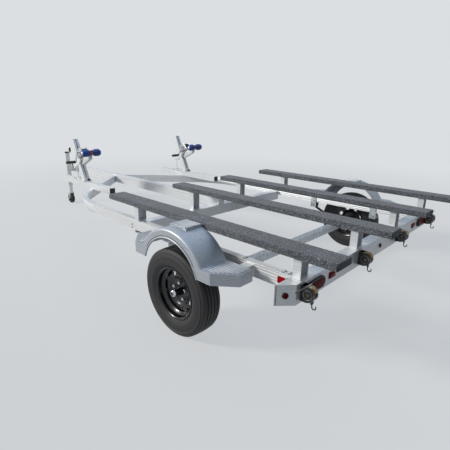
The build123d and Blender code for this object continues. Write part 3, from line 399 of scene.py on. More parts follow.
def marine_carpet(tree, place, colour):
    """Needle-punched marine carpet: matted grey fibres, flecked light and dark."""
    # Fibre clumps are about 4 mm, drawn at 9 mm so that they show in the render
    clumps = add(tree, "TexNoise", Vector=place, Scale=1 / 0.009, Detail=5, Roughness=0.7)
    pile = add(tree, "Mapping", Vector=place, Scale=(1, 0.6, 1))
    fibres = add(tree, "TexNoise", Vector=pile, Scale=1 / 0.003, Detail=3, Roughness=0.7)
    both = add(tree, "Mix", {"data_type": "FLOAT"}, Factor=0.4, _2=clumps, _3=fibres)
    flecks = tones(colour, (0.36, 0.35), (0.47, 0.8), (0.55, 1.3), (0.64, 2.1))
    tone = add(tree, "ValToRGB", {"stops": flecks}, Fac=both)
    patches = add(tree, "TexNoise", Vector=place, Scale=7, Detail=2, Roughness=0.55)
    wear = add(tree, "ValToRGB", {"stops": ((0.3, "#9a9da1"), (0.7, "#ffffff"))}, Fac=patches)
    worn = add(tree, "Mix", {"data_type": "RGBA", "blend_type": "MULTIPLY"}, 2, Factor=0.35, _6=tone, _7=wear)
    normal = add(tree, "Bump", Height=both, Distance=0.003, Strength=0.9)
    return add(tree, "BsdfPrincipled", Base_Color=worn, Roughness=0.96, Sheen_Weight=0.25,
               Sheen_Roughness=0.6, Normal=normal)


def lens_plastic(tree, place, colour, cell):
    """Moulded acrylic lens with a grid of small prisms on its inside, sized in millimetres."""
    prisms = add(tree, "TexVoronoi", {"feature": "F1", "distance": "CHEBYCHEV"}, "Distance", Vector=place,
                 Scale=1 / (cell * MM), Randomness=0)
    tone = add(tree, "ValToRGB", {"stops": tones(colour, (0.1, 1.15), (0.5, 0.72))}, Fac=prisms)
    normal = add(tree, "Bump", Height=prisms, Distance=0.0006, Strength=0.35)
    return add(tree, "BsdfPrincipled", Base_Color=tone, Roughness=0.35, Specular_IOR_Level=0.04,
               Normal=normal)


def moulded(tree, place, colour, rough):
    """Moulded rubber or plastic with a fine grain."""
    cloud = add(tree, "TexNoise", Vector=place, Scale=25, Detail=4, Roughness=0.55)
    tone = add(tree, "ValToRGB", {"stops": tones(colour, (0.3, 0.85), (0.7, 1.12))}, Fac=cloud)
    grain = add(tree, "TexNoise", Vector=place, Scale=700, Detail=2, Roughness=0.55)
    normal = add(tree, "Bump", Height=grain, Distance=0.0002, Strength=0.3)
    return add(tree, "BsdfPrincipled", Base_Color=tone, Roughness=rough, Normal=normal)


def webbing(tree, place, colour):
    """Woven polyester webbing, with a rib every 4 mm."""
    weave = add(tree, "TexWave", {"bands_direction": "X"}, "Fac", Vector=place, Scale=math.tau / 20 / 0.004,
                Distortion=1)
    tone = add(tree, "ValToRGB", {"stops": tones(colour, (0.2, 0.6), (0.8, 1.3))}, Fac=weave)
    normal = add(tree, "Bump", Height=weave, Distance=0.0008, Strength=0.8)
    return add(tree, "BsdfPrincipled", Base_Color=tone, Roughness=0.85, Sheen_Weight=0.2, Normal=normal)


def soften(node, width):
    """Round a CAD node's sharp edges in the picture, without touching its mesh."""
    item = frame["nodes"][node]
    item.modifiers.new("Weld", "WELD").merge_threshold = 2e-5
    bevel = item.modifiers.new("Bevel", "BEVEL")
    bevel.width = width * MM
    bevel.segments = 2
    bevel.limit_method = "ANGLE"
    bevel.angle_limit = math.radians(35)
    bevel.harden_normals = True


class TrailerColours(bpy.types.PropertyGroup):
    """The colours of the trailer's finishes, as sRGB hex codes."""
    aluminium: StringProperty(name="Aluminium", description="Rails, beams and stands", default="#eff2f5")
    fender: StringProperty(name="Fender", description="Pressed fender sheet", default="#bfc6cf")
    carpet: StringProperty(name="Carpet", description="Bunk carpet", default="#5c6066")
    enamel: StringProperty(name="Enamel", description="Wheels and springs", default="#0c0c0e")
    tyre: StringProperty(name="Tyre", description="Tyre rubber", default="#29292b")
    zinc: StringProperty(name="Zinc", description="Plated hardware", default="#c6c9cc")
    galvanised: StringProperty(name="Galvanised", description="Axle and hangers", default="#bac0c6")
    roller: StringProperty(name="Roller", description="Bow rollers", default="#0a42a4")
    lamp: StringProperty(name="Lamp", description="Tail lamp lenses", default="#8e0712")
    amber: StringProperty(name="Amber", description="Marker lenses", default="#e0781a")


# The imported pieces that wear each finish
CAD_FINISH = {
    "ribbed": ("rail_left", "rail_right"),
    "aluminium": ("spine", "tongue", "front_crossbeam", "rear_beam", "winch_tube_left",
                  "winch_tube_right", "winch_post_left", "winch_post_right", "bow_arms",
                  "bunk_brackets_front", "bunk_brackets_rear", "fender_brackets"),
    "fender": ("fender_left", "fender_right"),
    "carpet": ("bunk_1", "bunk_2", "bunk_3", "bunk_4"),
    "roller": ("bow_rollers",),
    "zinc": ("winches", "winch_crank_left", "winch_crank_right", "coupler", "jack_bracket",
             "jack_tube", "jack_leg", "jack_fork"),
    "galvanised": ("axle", "axle_clamps", "spring_hangers"),
    "enamel": ("leaf_springs", "rim_left", "rim_right", "tie_downs"),
    "chrome": ("hub_left", "hub_right"),
    "tyre": ("tyre_left", "tyre_right", "jack_wheel"),
    "red": ("lamp_lenses",),
    "reflector": ("reflectors",),
    "amber": ("amber_markers",),
    "grommet": ("lamp_grommets",),
}
# Each finish's material and its slot in the record
FINISH = {}


class TRAILER_OT_finishes(bpy.types.Operator):
    """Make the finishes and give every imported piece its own"""
    bl_idname = "trailer.finishes"
    bl_label = "Finishes"

    def execute(self, context):
        c = context.scene.trailer_colours
        blocks = context.scene.trailer_wheels.blocks
        for finish, slot, name, surface, *values in (
            ("ribbed", "aluminium", "ribbed_aluminium_extrusion", extruded_aluminium, c.aluminium, True),
            ("aluminium", "aluminium", "mill_aluminium", extruded_aluminium, c.aluminium),
            ("fender", "aluminium", "pressed_aluminium_sheet", extruded_aluminium, c.fender),
            # A darker aluminium for the sheets under the tread plates' ribs: painted shade in the grooves
            ("grooves", "aluminium", "worn_tread_plate", extruded_aluminium, "#878c93"),
            ("carpet", "carpet", "marine_carpet", marine_carpet, c.carpet),
            ("roller", "blue_rubber", "moulded_polyurethane", moulded, c.roller, 0.35),
            ("spool", "blue_rubber", "copper_toned_spool", moulded, "#a2582c", 0.4),
            ("grommet", "black_rubber", "black_rubber", moulded, "#161617", 0.6),
            ("zinc", "zinc_steel", "bright_zinc_plate", bright_zinc, c.zinc),
            ("steel", "zinc_steel", "dull_zinc_plate", bright_zinc, "#6a6b6e"),
            ("brass", "zinc_steel", "yellow_zinc_plate", bright_zinc, "#76603e"),
            ("galvanised", "zinc_steel", "galvanised_steel", galvanised_steel, c.galvanised),
            ("enamel", "black_steel", "gloss_black_enamel", gloss_enamel, c.enamel),
            ("chrome", "chrome", "chrome_plate", chrome, "#bfc2c6"),
            ("tyre", "tyre_rubber", "tyre_rubber", tyre_rubber, c.tyre, middle("axle"), blocks),
            ("red", "red_lens", "red_acrylic_lens", lens_plastic, c.lamp, 4),
            ("reflector", "red_lens", "red_reflector_acrylic", lens_plastic, "#b3111b", 4),
            ("amber", "amber_lens", "amber_acrylic_lens", lens_plastic, c.amber, 4),
            ("webbing", "black_rubber", "polyester_webbing", webbing, "#1b1c1f"),
            ("worn", "black_rubber", "faded_webbing", webbing, "#573f2a"),
        ):
            FINISH[finish] = material(name, surface, *values), slot
        for finish, nodes in CAD_FINISH.items():
            for node in nodes:
                materials = frame["nodes"][node].data.materials
                materials.clear()
                materials.append(FINISH[finish][0])
        for node in CAD_FINISH["ribbed"] + CAD_FINISH["aluminium"]:
            soften(node, 1.6)
        for node in CAD_FINISH["zinc"] + CAD_FINISH["galvanised"] + ("leaf_springs",):
            soften(node, 0.8)
        return {"FINISHED"}


# Wheels

class TrailerWheels(bpy.types.PropertyGroup):
    """Sizes of the wheels, in millimetres."""
    blocks: IntProperty(name="Tread blocks", description="Blocks round each shoulder", default=110)
    groove_depth: FloatProperty(name="Groove depth", description="Depth of the tread", default=7)
    windows: IntProperty(name="Windows", description="Openings in each wheel's disc", default=8)
    window_radius: FloatProperty(name="Window radius", description="From the wheel's centre", default=121)
    stud_radius: FloatProperty(name="Stud radius", description="From the wheel's centre", default=57.15)


def tyre_profile(depth):
    """Half of the tyre's section from its bead to the middle of its tread, as (across, radius)."""
    wall = [(66.5, 165.6), (66.6, 178.6), (69.5, 182.5), (73.0, 189.0), (74.4, 191.5), (74.6, 194.8),
            (77.4, 196.2), (78.6, 201.0), (79.4, 204.4), (81.4, 205.6), (82.0, 209.0), (82.4, 220.0),
            (82.8, 232.0), (82.4, 243.0), (81.4, 252.0), (79.4, 254.0), (79.2, 257.0), (80.8, 259.0),
            (79.8, 266.0), (78.8, 270.0), (76.2, 271.6), (74.0, 277.5), (71.0, 283.0), (67.4, 288.0),
            (62.5, 291.6)]
    crown = []
    for inner, outer in ((34.5, 41.5), (10.5, 17.5)):
        for across, sink in ((outer, 0), (outer - 1.2, depth), (inner + 1.2, depth), (inner, 0)):
            crown.append((across, 295.7 - 3.6 * (across / 62) ** 2 - sink))
    return wall + crown


class TRAILER_OT_tyres(bpy.types.Operator):
    """Turn each tyre with its rings and grooves, and cut its shoulder blocks"""
    bl_idname = "trailer.tyres"
    bl_label = "Tyres"

    def execute(self, context):
        sizes = context.scene.trailer_wheels
        half = tyre_profile(sizes.groove_depth)
        inside = even((58, 165.6), (60, 185), (73, 228), (60, 282))
        profile = [*half, *((-a, r) for a, r in reversed(half)), *inside, half[0]]
        slices = 3 * sizes.blocks
        for side_name, side in SIDES:
            centre = middle(f"tyre_{side_name}")
            piece = lathe(profile, centre, X * side, steps=slices)
            only(piece)
            # Every third slice is a slot between two tread blocks, half a block on at the middle ribs
            for face in piece.data.polygons:
                spot = Vector(face.center) - centre
                across, out = abs(spot.x) / MM, math.hypot(spot.y, spot.z) / MM
                slot = int(math.atan2(spot.z, spot.y) % math.tau / math.tau * slices)
                shoulder = slot % 3 == 0 and 276 < out and 41.6 < across < 75
                face.select = shoulder or (slot % 3 == 1 and 288 < out and 17.6 < across < 34.4)
            edit()
            bpy.ops.mesh.select_mode(type="FACE")
            bpy.ops.mesh.extrude_region_shrink_fatten(TRANSFORM_OT_shrink_fatten={"value": -4.5 * MM})
            bpy.ops.mesh.select_mode(type="VERT")
            done(leave(28), f"tyre_treaded_{side_name}", "tyre", f"wheel_{side_name}", [f"tyre_{side_name}"])
        return {"FINISHED"}


class TRAILER_OT_wheels(bpy.types.Operator):
    """Turn each pressed steel wheel, cut its windows and add its cap and nuts"""
    bl_idname = "trailer.wheels"
    bl_label = "Wheels"

    def execute(self, context):
        sizes = context.scene.trailer_wheels
        barrel = [(72.0, 177.6), (72.9, 175.5), (72.4, 172.0), (69.5, 166.2), (64.0, 161.8), (44.0, 160.6),
                  (38.5, 158.2), (30.5, 143.5), (25.0, 138.2), (-25.0, 138.0), (-30.0, 142.0), (-40.0, 160.6),
                  (-66.0, 161.2), (-70.0, 168.0), (-71.8, 176.0), (-70.5, 177.8), (-67.2, 177.6),
                  (-67.2, 165.0), (-41.5, 164.8), (-27.5, 142.2), (27.0, 142.2), (41.5, 164.8), (62.0, 165.0),
                  (67.2, 168.0), (67.4, 177.0), (69.5, 178.0), (72.0, 177.6)]
        front = [(5.0, 33.6), (5.0, 66.0), (5.6, 76.0), (8.5, 84.0), (15.5, 94.0), (20.0, 100.5),
                 (22.0, 108.0), (22.0, 118.0), (20.0, 127.0), (15.5, 134.0), (9.0, 138.6), (-6.0, 138.9)]
        back = [(a - 4.2, r) for a, r in reversed(front[:-2])]
        window = ((-13, -12), (-9, -16), (10, -22), (14, -18), (14, 18), (10, 22), (-9, 16), (-13, 12))
        for side_name, side in SIDES:
            centre, axis, body = middle(f"tyre_{side_name}"), X * side, f"wheel_{side_name}"
            made = lathe(barrel, centre, axis, steps=96)
            disc = lathe([*front, (-6.0, 134.6), *back, front[0]], centre, axis, steps=96)
            cutters = []
            for number in range(sizes.windows):
                turn = math.tau * (number + 0.5) / sizes.windows
                out = Y * math.cos(turn) + Z * math.sin(turn)
                at = measured(centre - axis * 20 * MM, X, out, out.cross(X))
                outline = [at(0, sizes.window_radius + u, v) for u, v in window]
                cutters.append(prism(outline, axis * 60 * MM, 1.5))
            cutter = joined(cutters, "window_cutter")
            hole = disc.modifiers.new("Windows", "BOOLEAN")
            hole.operation = "DIFFERENCE"
            hole.solver = "EXACT"
            hole.object = cutter
            only(disc)
            bpy.ops.object.modifier_apply(modifier="Windows")
            drop(cutter)
            piece = joined([made, disc], "wheel")
            bpy.ops.object.shade_smooth_by_angle(angle=math.radians(32))
            done(piece, f"wheel_pressed_{side_name}", "enamel", body, [f"rim_{side_name}"])

            hub = lathe([(-72, 17.05), (-72, 33), (-10, 33), (-10, 40), (-10, 71), (-9, 72), (-1.5, 72),
                         (-0.5, 71), (-0.5, 30.5), (5.5, 30.5), (7.5, 29.8), (8.0, 27.0), (56, 26.4),
                         (56, 17.05), (-72, 17.05)], centre, axis, steps=64)
            done(hub, f"hub_turned_{side_name}", "enamel", body, [f"hub_{side_name}"])
            cap = lathe([(56.2, 0), (56.2, 27), (66, 26), (72.5, 23), (76.4, 19), (78.2, 16), (78.7, 14),
                         (78.2, 12.2), (75.4, 11.6), (75.2, 0)], centre, axis, steps=64)
            plug = lathe([(75.4, 0), (75.4, 11), (76.8, 11), (77.6, 9), (77.8, 0)], centre, axis, steps=40)
            done(plug, f"grease_plug_{side_name}", "grommet", body)
            at = measured(centre)
            # The first of the five studs is straight up
            studs = [at(0, -b * sizes.stud_radius, a * sizes.stud_radius) for a, b in ring(5)]
            nuts = spread(lug_nut(), [aim(stud, axis, 0.3) for stud in studs])
            piece = joined([cap, *nuts], "cap")
            bpy.ops.object.shade_smooth_by_angle(angle=math.radians(32))
            done(piece, f"cap_and_nuts_{side_name}", "chrome", body)

            # The valve stem, in its hole near the wheel's lip
            stem = lathe([(-6, 0), (-6, 5), (2, 5), (6, 4), (18, 3.6), (20, 4.3), (30, 4.3), (31, 3),
                          (31, 0)], ORIGIN, Z, steps=20)
            out = Y * -0.5 + Z * 0.866
            tip = spread(stem, [aim(centre + axis * 40 * MM + out * 152 * MM, axis - out * 0.35)])
            done(tip, f"valve_stem_{side_name}", "grommet", body)
        return {"FINISHED"}


def lug_nut():
    """A bright lug nut: six flats, a cone at its foot and a dome on top."""
    only()
    bpy.ops.mesh.primitive_cylinder_add(vertices=6, radius=12 * MM, depth=18 * MM, location=(0, 0, 14 * MM))
    nut = bpy.context.object
    edit()
    bpy.ops.mesh.select_mode(type="FACE")
    for height, shrink, rise in ((23, 0.78, 2.4), (5, 0.84, -2.0)):
        bpy.ops.mesh.select_all(action="DESELECT")
        bpy.ops.object.mode_set(mode="OBJECT")
        for face in nut.data.polygons:
            level = face.center.z + nut.location.z
            face.select = abs(face.normal.z) > 0.9 and abs(level - height * MM) < MM
        edit()
        bpy.ops.mesh.inset(thickness=1.6 * MM)
        bpy.ops.transform.translate(value=(0, 0, rise * MM))
        bpy.ops.transform.resize(value=(shrink, shrink, 1))
    bpy.ops.mesh.select_mode(type="VERT")
    return leave(25)


def bolt(head, length=0.0):
    """A hexagon bolt head on its washer and the end of its shank, made at the origin and facing +Z."""
    only()
    bpy.ops.mesh.primitive_cylinder_add(vertices=6, radius=head * 1.12 * MM, depth=head * 0.8 * MM,
                                        location=(0, 0, (head * 0.4 + 1.6) * MM))
    for face in bpy.context.object.data.polygons:
        face.select = face.normal.z > 0.9
    edit()
    bpy.ops.mesh.select_mode(type="FACE")
    bpy.ops.mesh.inset(thickness=head * 0.16 * MM)
    bpy.ops.transform.translate(value=(0, 0, head * 0.12 * MM))
    bpy.ops.mesh.select_mode(type="VERT")
    washer = head * 1.45
    made = [leave(25), lathe([(0, 0), (0, washer), (1.2, washer), (1.6, washer - 0.5), (1.6, 0)], ORIGIN, Z,
                             steps=24)]
    if length:
        r = head * 0.55
        made.append(lathe([(1, 0), (1, r), (length - 1, r), (length, r - 1), (length, 0)], ORIGIN, Z,
                          steps=16))
    return joined(made, "bolt")


def dome(radius):
    """A carriage bolt's round head, made at the origin and facing +Z."""
    return lathe([(0, 0), (0, radius), (radius * 0.16, radius), (radius * 0.36, radius * 0.82),
                  (radius * 0.5, radius * 0.5), (radius * 0.55, 0)], ORIGIN, Z, steps=24)


def fasteners(name, pattern, places):
    """Copies of a bolt at (place, direction) pairs, as one zinc-plated piece."""
    matrices = [aim(place, direction, 0.35 * n) for n, (place, direction) in enumerate(places)]
    done(spread(pattern, matrices), name, "zinc")


# Frame and bunks

class TRAILER_OT_bunks(bpy.types.Operator):
    """Wrap each bunk board in its carpet, with soft corners and a matted face"""
    bl_idname = "trailer.bunks"
    bl_label = "Bunks"

    def execute(self, context):
        fuzz = bpy.data.textures.new("carpet_fuzz", "CLOUDS")
        fuzz.noise_scale = 0.011
        fuzz.noise_depth = 3
        inset = Vector((1, 1, 1)) * 0.8 * MM
        for number in (1, 2, 3, 4):
            low, high = box(f"bunk_{number}")
            piece = block(low + inset, high - inset, 9, 4)
            only(piece)
            edit()
            # Cuts across the board's length, width and thickness give the fuzz points to move
            for axis, normal, cuts in ((1, Y, 180), (0, X, 12), (2, Z, 4)):
                start, stop = low[axis] + 0.012, high[axis] - 0.012
                for step in range(cuts + 1):
                    bpy.ops.mesh.select_all(action="SELECT")
                    bpy.ops.mesh.bisect(plane_co=normal * (start + (stop - start) * step / cuts),
                                        plane_no=normal)
            piece = leave(60)
            push = piece.modifiers.new("Fuzz", "DISPLACE")
            push.texture = fuzz
            push.texture_coords = "GLOBAL"
            push.strength = 2.6 * MM
            push.mid_level = 0.5
            only(piece)
            bpy.ops.object.modifier_apply(modifier="Fuzz")
            bpy.ops.object.shade_smooth()
            done(piece, f"carpeted_bunk_{number}", "carpet", "frame", [f"bunk_{number}"])
        return {"FINISHED"}


class TrailerFittings(bpy.types.PropertyGroup):
    """Sizes of the bolts and lamps, in millimetres."""
    frame_bolt: FloatProperty(name="Frame bolt", default=8.5,
                              description="Half the width of a frame bolt's head")
    small_bolt: FloatProperty(name="Small bolt", default=5.5,
                              description="Half the width of a small bolt's head")
    lamp_rim: FloatProperty(name="Lamp rim", default=5.5,
                            description="Radius of the rubber round a tail lamp")


class TRAILER_OT_frame_bolts(bpy.types.Operator):
    """Bolt the beams, brackets and stands together"""
    bl_idname = "trailer.frame_bolts"
    bl_label = "Frame bolts"

    def execute(self, context):
        sizes = context.scene.trailer_fittings
        rail, rear = box("rail_right")[1], box("rear_beam")[1].y
        axle, cross = middle("axle").y, middle("front_crossbeam").y
        places = []
        for side in (-1, 1):
            # Through the rails' outer faces, where the crossbeam and the rear beam are fastened
            for y, heights in ((cross, (0.495, 0.52)), (rear + 0.03, (0.50, 0.548))):
                places += [((side * rail.x, y, z), X * side) for z in heights]
            # Down through the rails' tops, near their rear ends and over the hangers
            for y in (rear + 0.022, rear + 0.062, axle - 0.36, axle + 0.37):
                places += [((side * (rail.x - 0.023 + across), y, rail.z), Z) for across in (-0.011, 0.011)]
        fasteners("frame_bolts", bolt(sizes.frame_bolt * 0.75), places)

        places = []
        for row, foot in (("front", 0.526), ("rear", 0.575)):
            low, high = box(f"bunk_brackets_{row}")
            for side in (-1, 1):
                # The front row's inner brackets stand further forward and lower, on the crossbeam
                for x, y, z in ((RAIL_X, low.y + 0.022, 0.575), (INNER_BUNK_X, high.y - 0.028, foot)):
                    for step in (-0.02, 0.02):
                        places.append(((side * x + step, y, z), Z))
                        places.append(((side * x + step, y, high.z - 0.006), -Z))
        fasteners("bracket_bolts", bolt(sizes.small_bolt), places)

        places = []
        for side_name, side in SIDES:
            low, high = box(f"winch_post_{side_name}")
            for y in (low.y + 0.025, high.y - 0.025):
                places += [((side * STAND_X + across, y, low.z + 0.006), Z) for across in (-0.033, 0.033)]
        fasteners("stand_bolts", bolt(sizes.frame_bolt * 0.8), places)
        return {"FINISHED"}


class TRAILER_OT_welds(bpy.types.Operator):
    """Lay the weld beads where the rails meet the centre beam and the beams meet the rails"""
    bl_idname = "trailer.welds"
    bl_label = "Welds"

    def execute(self, context):
        low, high = box("rail_right")
        cross, rear = box("front_crossbeam")[1].y, box("rear_beam")[1].y
        beads = []
        for side in (-1, 1):
            for x, y, foot, top in ((0.0405, high.y - 0.095, low.z + 0.004, high.z - 0.004),
                                    (0.0395, cross + 0.001, 0.484, 0.519),
                                    (high.x - 0.048, rear + 0.0015, low.z + 0.008, high.z - 0.005)):
                start, stop = Vector((side * x, y, foot)), Vector((side * x, y, top))
                # One ripple every 4 mm
                ripples = round((stop - start).length / 0.004)
                profile = [(0, 0)]
                for n in range(ripples):
                    profile += [((n + 0.15) * 4, 2.6), ((n + 0.5) * 4, 3.4), ((n + 0.9) * 4, 2.6)]
                profile.append((ripples * 4, 0))
                beads.append(lathe(profile, start, stop - start, steps=10, limit=60))
        done(beads, "weld_beads", "aluminium")
        return {"FINISHED"}


# Fenders and springs

def tread_rib(start, stop):
    return block((-0.0042, start, -0.001), (0.0042, stop, 0.0034), 2.4, 3)


class TRAILER_OT_fender_trim(bpy.types.Operator):
    """Press the ribs of the tread plates and fasten the fenders"""
    bl_idname = "trailer.fender_trim"
    bl_label = "Fender trim"

    def execute(self, context):
        for side_name, side in SIDES:
            low, high = box(f"fender_{side_name}")
            mid_y, top, step = (low.y + high.y) / 2, high.z, low.z + TREAD_RISE
            inner, outer = sorted((abs(low.x), abs(high.x)))
            # Ribs run along the crown's pad and along both steps
            first = inner + RIB_INSET
            ribs = spread(tread_rib(-0.072, 0.072),
                          [Matrix.Translation((first + n * RIB_PITCH, mid_y, top)) for n in range(8)])
            for end in (-1, 1):
                for n in range(11):
                    # The outermost ribs are cut short along the step's cut corner
                    reach = 0.482 - max(0.0, RIB_INSET + n * RIB_PITCH - 0.098) * 130 / 107
                    if reach > 0.36:
                        place = Matrix.Translation((first + n * RIB_PITCH, mid_y, step))
                        ribs += spread(tread_rib(0.318, reach), [place @ Matrix.Scale(end, 4, Y)])
            # A darker sheet under the ribs paints shade into the grooves between them
            beds = [block((inner + 0.004, mid_y - 0.073, top - 0.001),
                          (inner + 0.14, mid_y + 0.073, top + 0.0006), 0.2)]
            for end in (-1, 1):
                bed = [(inner + a, mid_y + end * b, step - 0.001) for a, b in
                       ((0.004, 0.316), (0.196, 0.316), (0.196, 0.362), (0.1, 0.484), (0.004, 0.484))]
                beds.append(prism(bed, (0, 0, 0.0016)))
            plates = [joined(beds, "beds"), joined(ribs, "ribs")]
            if side < 0:
                plates = [spread(plate, [Matrix.Scale(-1, 4, X)])[0] for plate in plates]
            done(plates[0], f"tread_groove_shade_{side_name}", "grooves")
            done(plates[1], f"tread_ribs_{side_name}", "fender")
            # A dark strip painted as the shadow where the lip is rolled round its wire
            centre = Vector((side * (outer - 0.0045), mid_y, ARCH_Z))
            arcs = []
            for radius in (0.2755, 0.279):
                start = math.asin((step - ARCH_Z) / radius)
                turns = [start + (math.pi - 2 * start) * n / 40 for n in range(41)]
                arcs.append([centre + (Y * math.cos(t) + Z * math.sin(t)) * radius for t in turns])
            line = prism(arcs[0] + arcs[1][::-1], X * side * 0.6 * MM)
            done(line, f"lip_shadow_line_{side_name}", "grommet")
            places = [((side * (inner + x), mid_y + end * 0.303, step), Z)
                      for end in (-1, 1) for x in (0.02, 0.055)]
            fasteners(f"fender_bolts_{side_name}", dome(6.5), places)
        return {"FINISHED"}


class TRAILER_OT_springs(bpy.types.Operator):
    """Add the axle clamps' nuts and the bolts through the springs' eyes"""
    bl_idname = "trailer.springs"
    bl_label = "Springs"

    def execute(self, context):
        foot, y = box("axle_clamps")[0].z, middle("axle").y
        places = [((side * RAIL_X + leg, y + end, foot), -Z)
                  for side in (-1, 1) for leg in (-0.029, 0.029) for end in (-0.038, 0.038)]
        fasteners("axle_clamp_nuts", bolt(7.5, 14), places)
        places = [((side * (RAIL_X + face * 0.032), y + end, 0.44), X * side * face)
                  for side in (-1, 1) for face in (-1, 1) for end in (-0.330, 0.330)]
        fasteners("spring_eye_bolts", bolt(7), places)
        return {"FINISHED"}


# Lamps and tie-downs

def stadium(x, y, width, height):
    """A tail lamp's outline across the rear: two straight sides and two round ends."""
    r, reach = height / 2, (width - height) / 2
    turns = [math.tau * (n + 0.5) / 24 for n in range(24)]
    return [(x + math.copysign(reach, math.cos(t)) + r * math.cos(t), y, LAMP_Z + r * math.sin(t))
            for t in turns]


class TRAILER_OT_lamps(bpy.types.Operator):
    """Make the oval tail lamps, the round markers and the reflectors"""
    bl_idname = "trailer.lamps"
    bl_label = "Lamps"

    def execute(self, context):
        back = box("rear_beam")[0].y
        reds, blacks, ambers, faces = [], [], [], []

        def marker(lenses, spot, direction, r):
            """A domed lens in its rubber ring."""
            lenses.append(lathe([(0, 0), (0, r - 0.5), (5, r - 0.5), (7, r - 2), (9, r - 5), (10.2, r * 0.4),
                                 (10.4, 0)], spot, direction, steps=40, limit=40))
            blacks.append(lathe([(0, r - 0.8), (0, r + 4.2), (2.5, r + 4.6), (5.5, r + 3.6), (7, r + 1.4),
                                 (6.2, r - 0.6), (0, r - 0.8)], spot, direction, steps=40, limit=50))

        for side_name, side in SIDES:
            x = side * LAMP_X
            reds.append(prism(stadium(x, back - 0.001, 0.159, 0.051), (0, -0.014, 0), 4, 4))
            blacks.append(tube(stadium(x, back - 0.009, 0.169, 0.061),
                               context.scene.trailer_fittings.lamp_rim, closed=True))
            blacks.append(prism(stadium(x, back, 0.180, 0.072), (0, -0.004, 0), 1))
            # Red markers on the rear beam's cut corners, amber ones on the front steps' cut corners
            marker(reds, (side * 1.1175, back + 0.039, LAMP_Z), (side * 0.078, -0.085, 0), 13.5)
            front = box(f"fender_{side_name}")[1].y
            marker(ambers, (side * 1.234, front - 0.065, 0.5235), (side * 0.130, 0.107, 0), 17)
            for corner, along, out in (((side * 0.700, back, LAMP_Z), X, -Y),
                                       ((side * 1.010, middle("axle").y - 0.655, 0.524), Y, X * side)):
                outline = [Vector(corner) + along * a * MM + Z * b * MM for a, b in
                           ((-37.5, -17), (-34, -20.5), (34, -20.5), (37.5, -17),
                            (37.5, 17), (34, 20.5), (-34, 20.5), (-37.5, 17))]
                faces.append(prism(outline, out * 4.6 * MM, 1.2))
        marker(reds, (0, back, LAMP_Z), -Y, 12)
        done(reds, "lamp_lenses_domed", "red", "frame", ["lamp_lenses"])
        done(ambers, "marker_lenses_domed", "amber", "frame", ["amber_markers"])
        done(blacks, "lamp_rims_rounded", "grommet", "frame", ["lamp_grommets"])
        done(faces, "reflectors_moulded", "reflector", "frame", ["reflectors"])
        return {"FINISHED"}


class TRAILER_OT_tie_downs(bpy.types.Operator):
    """Make the four retractable tie-downs: reel, case, lever, winding bar, strap and hook"""
    bl_idname = "trailer.tie_downs"
    bl_label = "Tie-downs"

    def execute(self, context):
        back = box("rear_beam")[0].y
        blacks, brasses, straps, hooks, steels, worn = [], [], [], [], [], []
        for x in REELS_X:
            at = measured(Vector((x, back - 0.045, REEL_Z)))
            centre = at(0, 0, 0)
            # Reel flanges with teeth, the case behind them and the wound strap between
            for side in (-1, 1):
                rim = [at(side * 17, r * math.cos(t), r * math.sin(t)) for n in range(22)
                       for t, r in ((math.tau * n / 22, 34.5), (math.tau * (n + 0.45) / 22, 40.5))]
                steels.append(prism(rim, X * side * 3 * MM, 0.5))
                cheek = [at(side * 22, a, b) for a, b in
                         ((44, 44), (44, -46), (8, -46), (-16, -38), (-30, -18), (-30, 14), (-14, 34),
                          (10, 44))]
                blacks.append(prism(cheek, X * side * 2.6 * MM, 0.8))
                hoop = [at(side * 25.2, 26.5 * a, 26.5 * b) for a, b in ring(24)]
                steels.append(tube(hoop, 1.9, closed=True))
            worn.append(lathe(even((16, 0), (16, 33), (15, 34.5)), centre, X))
            blacks.append(block(at(-24.6, 41.5, -46), at(24.6, 45, 44), 1.2))
            brasses.append(lathe(even((25, 0), (25, 7), (23, 8.5)), centre, X, steps=24))
            lever = [at(-17, a, b) for a, b in
                     ((32, 35), (14, 43), (-14, 44), (-31, 35), (-39, 20), (-36, 18), (-29, 31), (-13, 40),
                      (13, 39), (29, 32))]
            brasses.append(prism(lever, X * 34 * MM, 1.2))
            if x in (REELS_X[0], REELS_X[-1]):
                # The outer reels' winding bar lies across their top, pointing away from the middle
                bar = [at(a if x > 0 else -a, b, c) for a, b, c in
                       ((-20, 6, 47), (20, 6, 48), (70, 8, 48.5), (125, 10, 49))]
                steels.append(tube(bar, 4.2))
            # The strap leaves the reel's foot for its hook
            straps.append(block(at(-12.5, -16, -52), at(12.5, -13, -18), 0.8))
            eye = [at(a, -14.5, b) for a, b in
                   ((-10, -44), (16, -44), (16, -51), (7, -57), (-1, -57), (-10, -51))]
            hooks.append(tube(eye, 2.6, closed=True))
            bend = [at(3, a, b) for a, b in
                    ((-14.5, -56), (-14.5, -65), (-14.5, -73), (-19.5, -81), (-29.5, -83), (-37.5, -77),
                     (-38.5, -67), (-36.5, -62))]
            hooks.append(tube(bend, 3.4))
        done(blacks, "tie_down_cases", "enamel", "frame", ["tie_downs"])
        done(brasses, "tie_down_levers", "brass")
        done(straps, "tie_down_straps", "webbing")
        done(worn, "tie_down_strap_rolls", "worn")
        done(steels, "tie_down_flanges", "steel")
        done(hooks, "tie_down_hooks", "enamel")
        return {"FINISHED"}


# Winch stands

class TrailerStands(bpy.types.PropertyGroup):
    """Sizes of the winch stands' fittings, in millimetres."""
    lean: FloatProperty(name="Lean", description="The posts' lean", subtype="ANGLE", default=math.radians(25))
    gear_teeth: IntProperty(name="Gear teeth", description="Teeth on each winch's large gear", default=40)
    roller_radius: FloatProperty(name="Roller radius", default=39,
                                 description="At the middle of a bow roller")


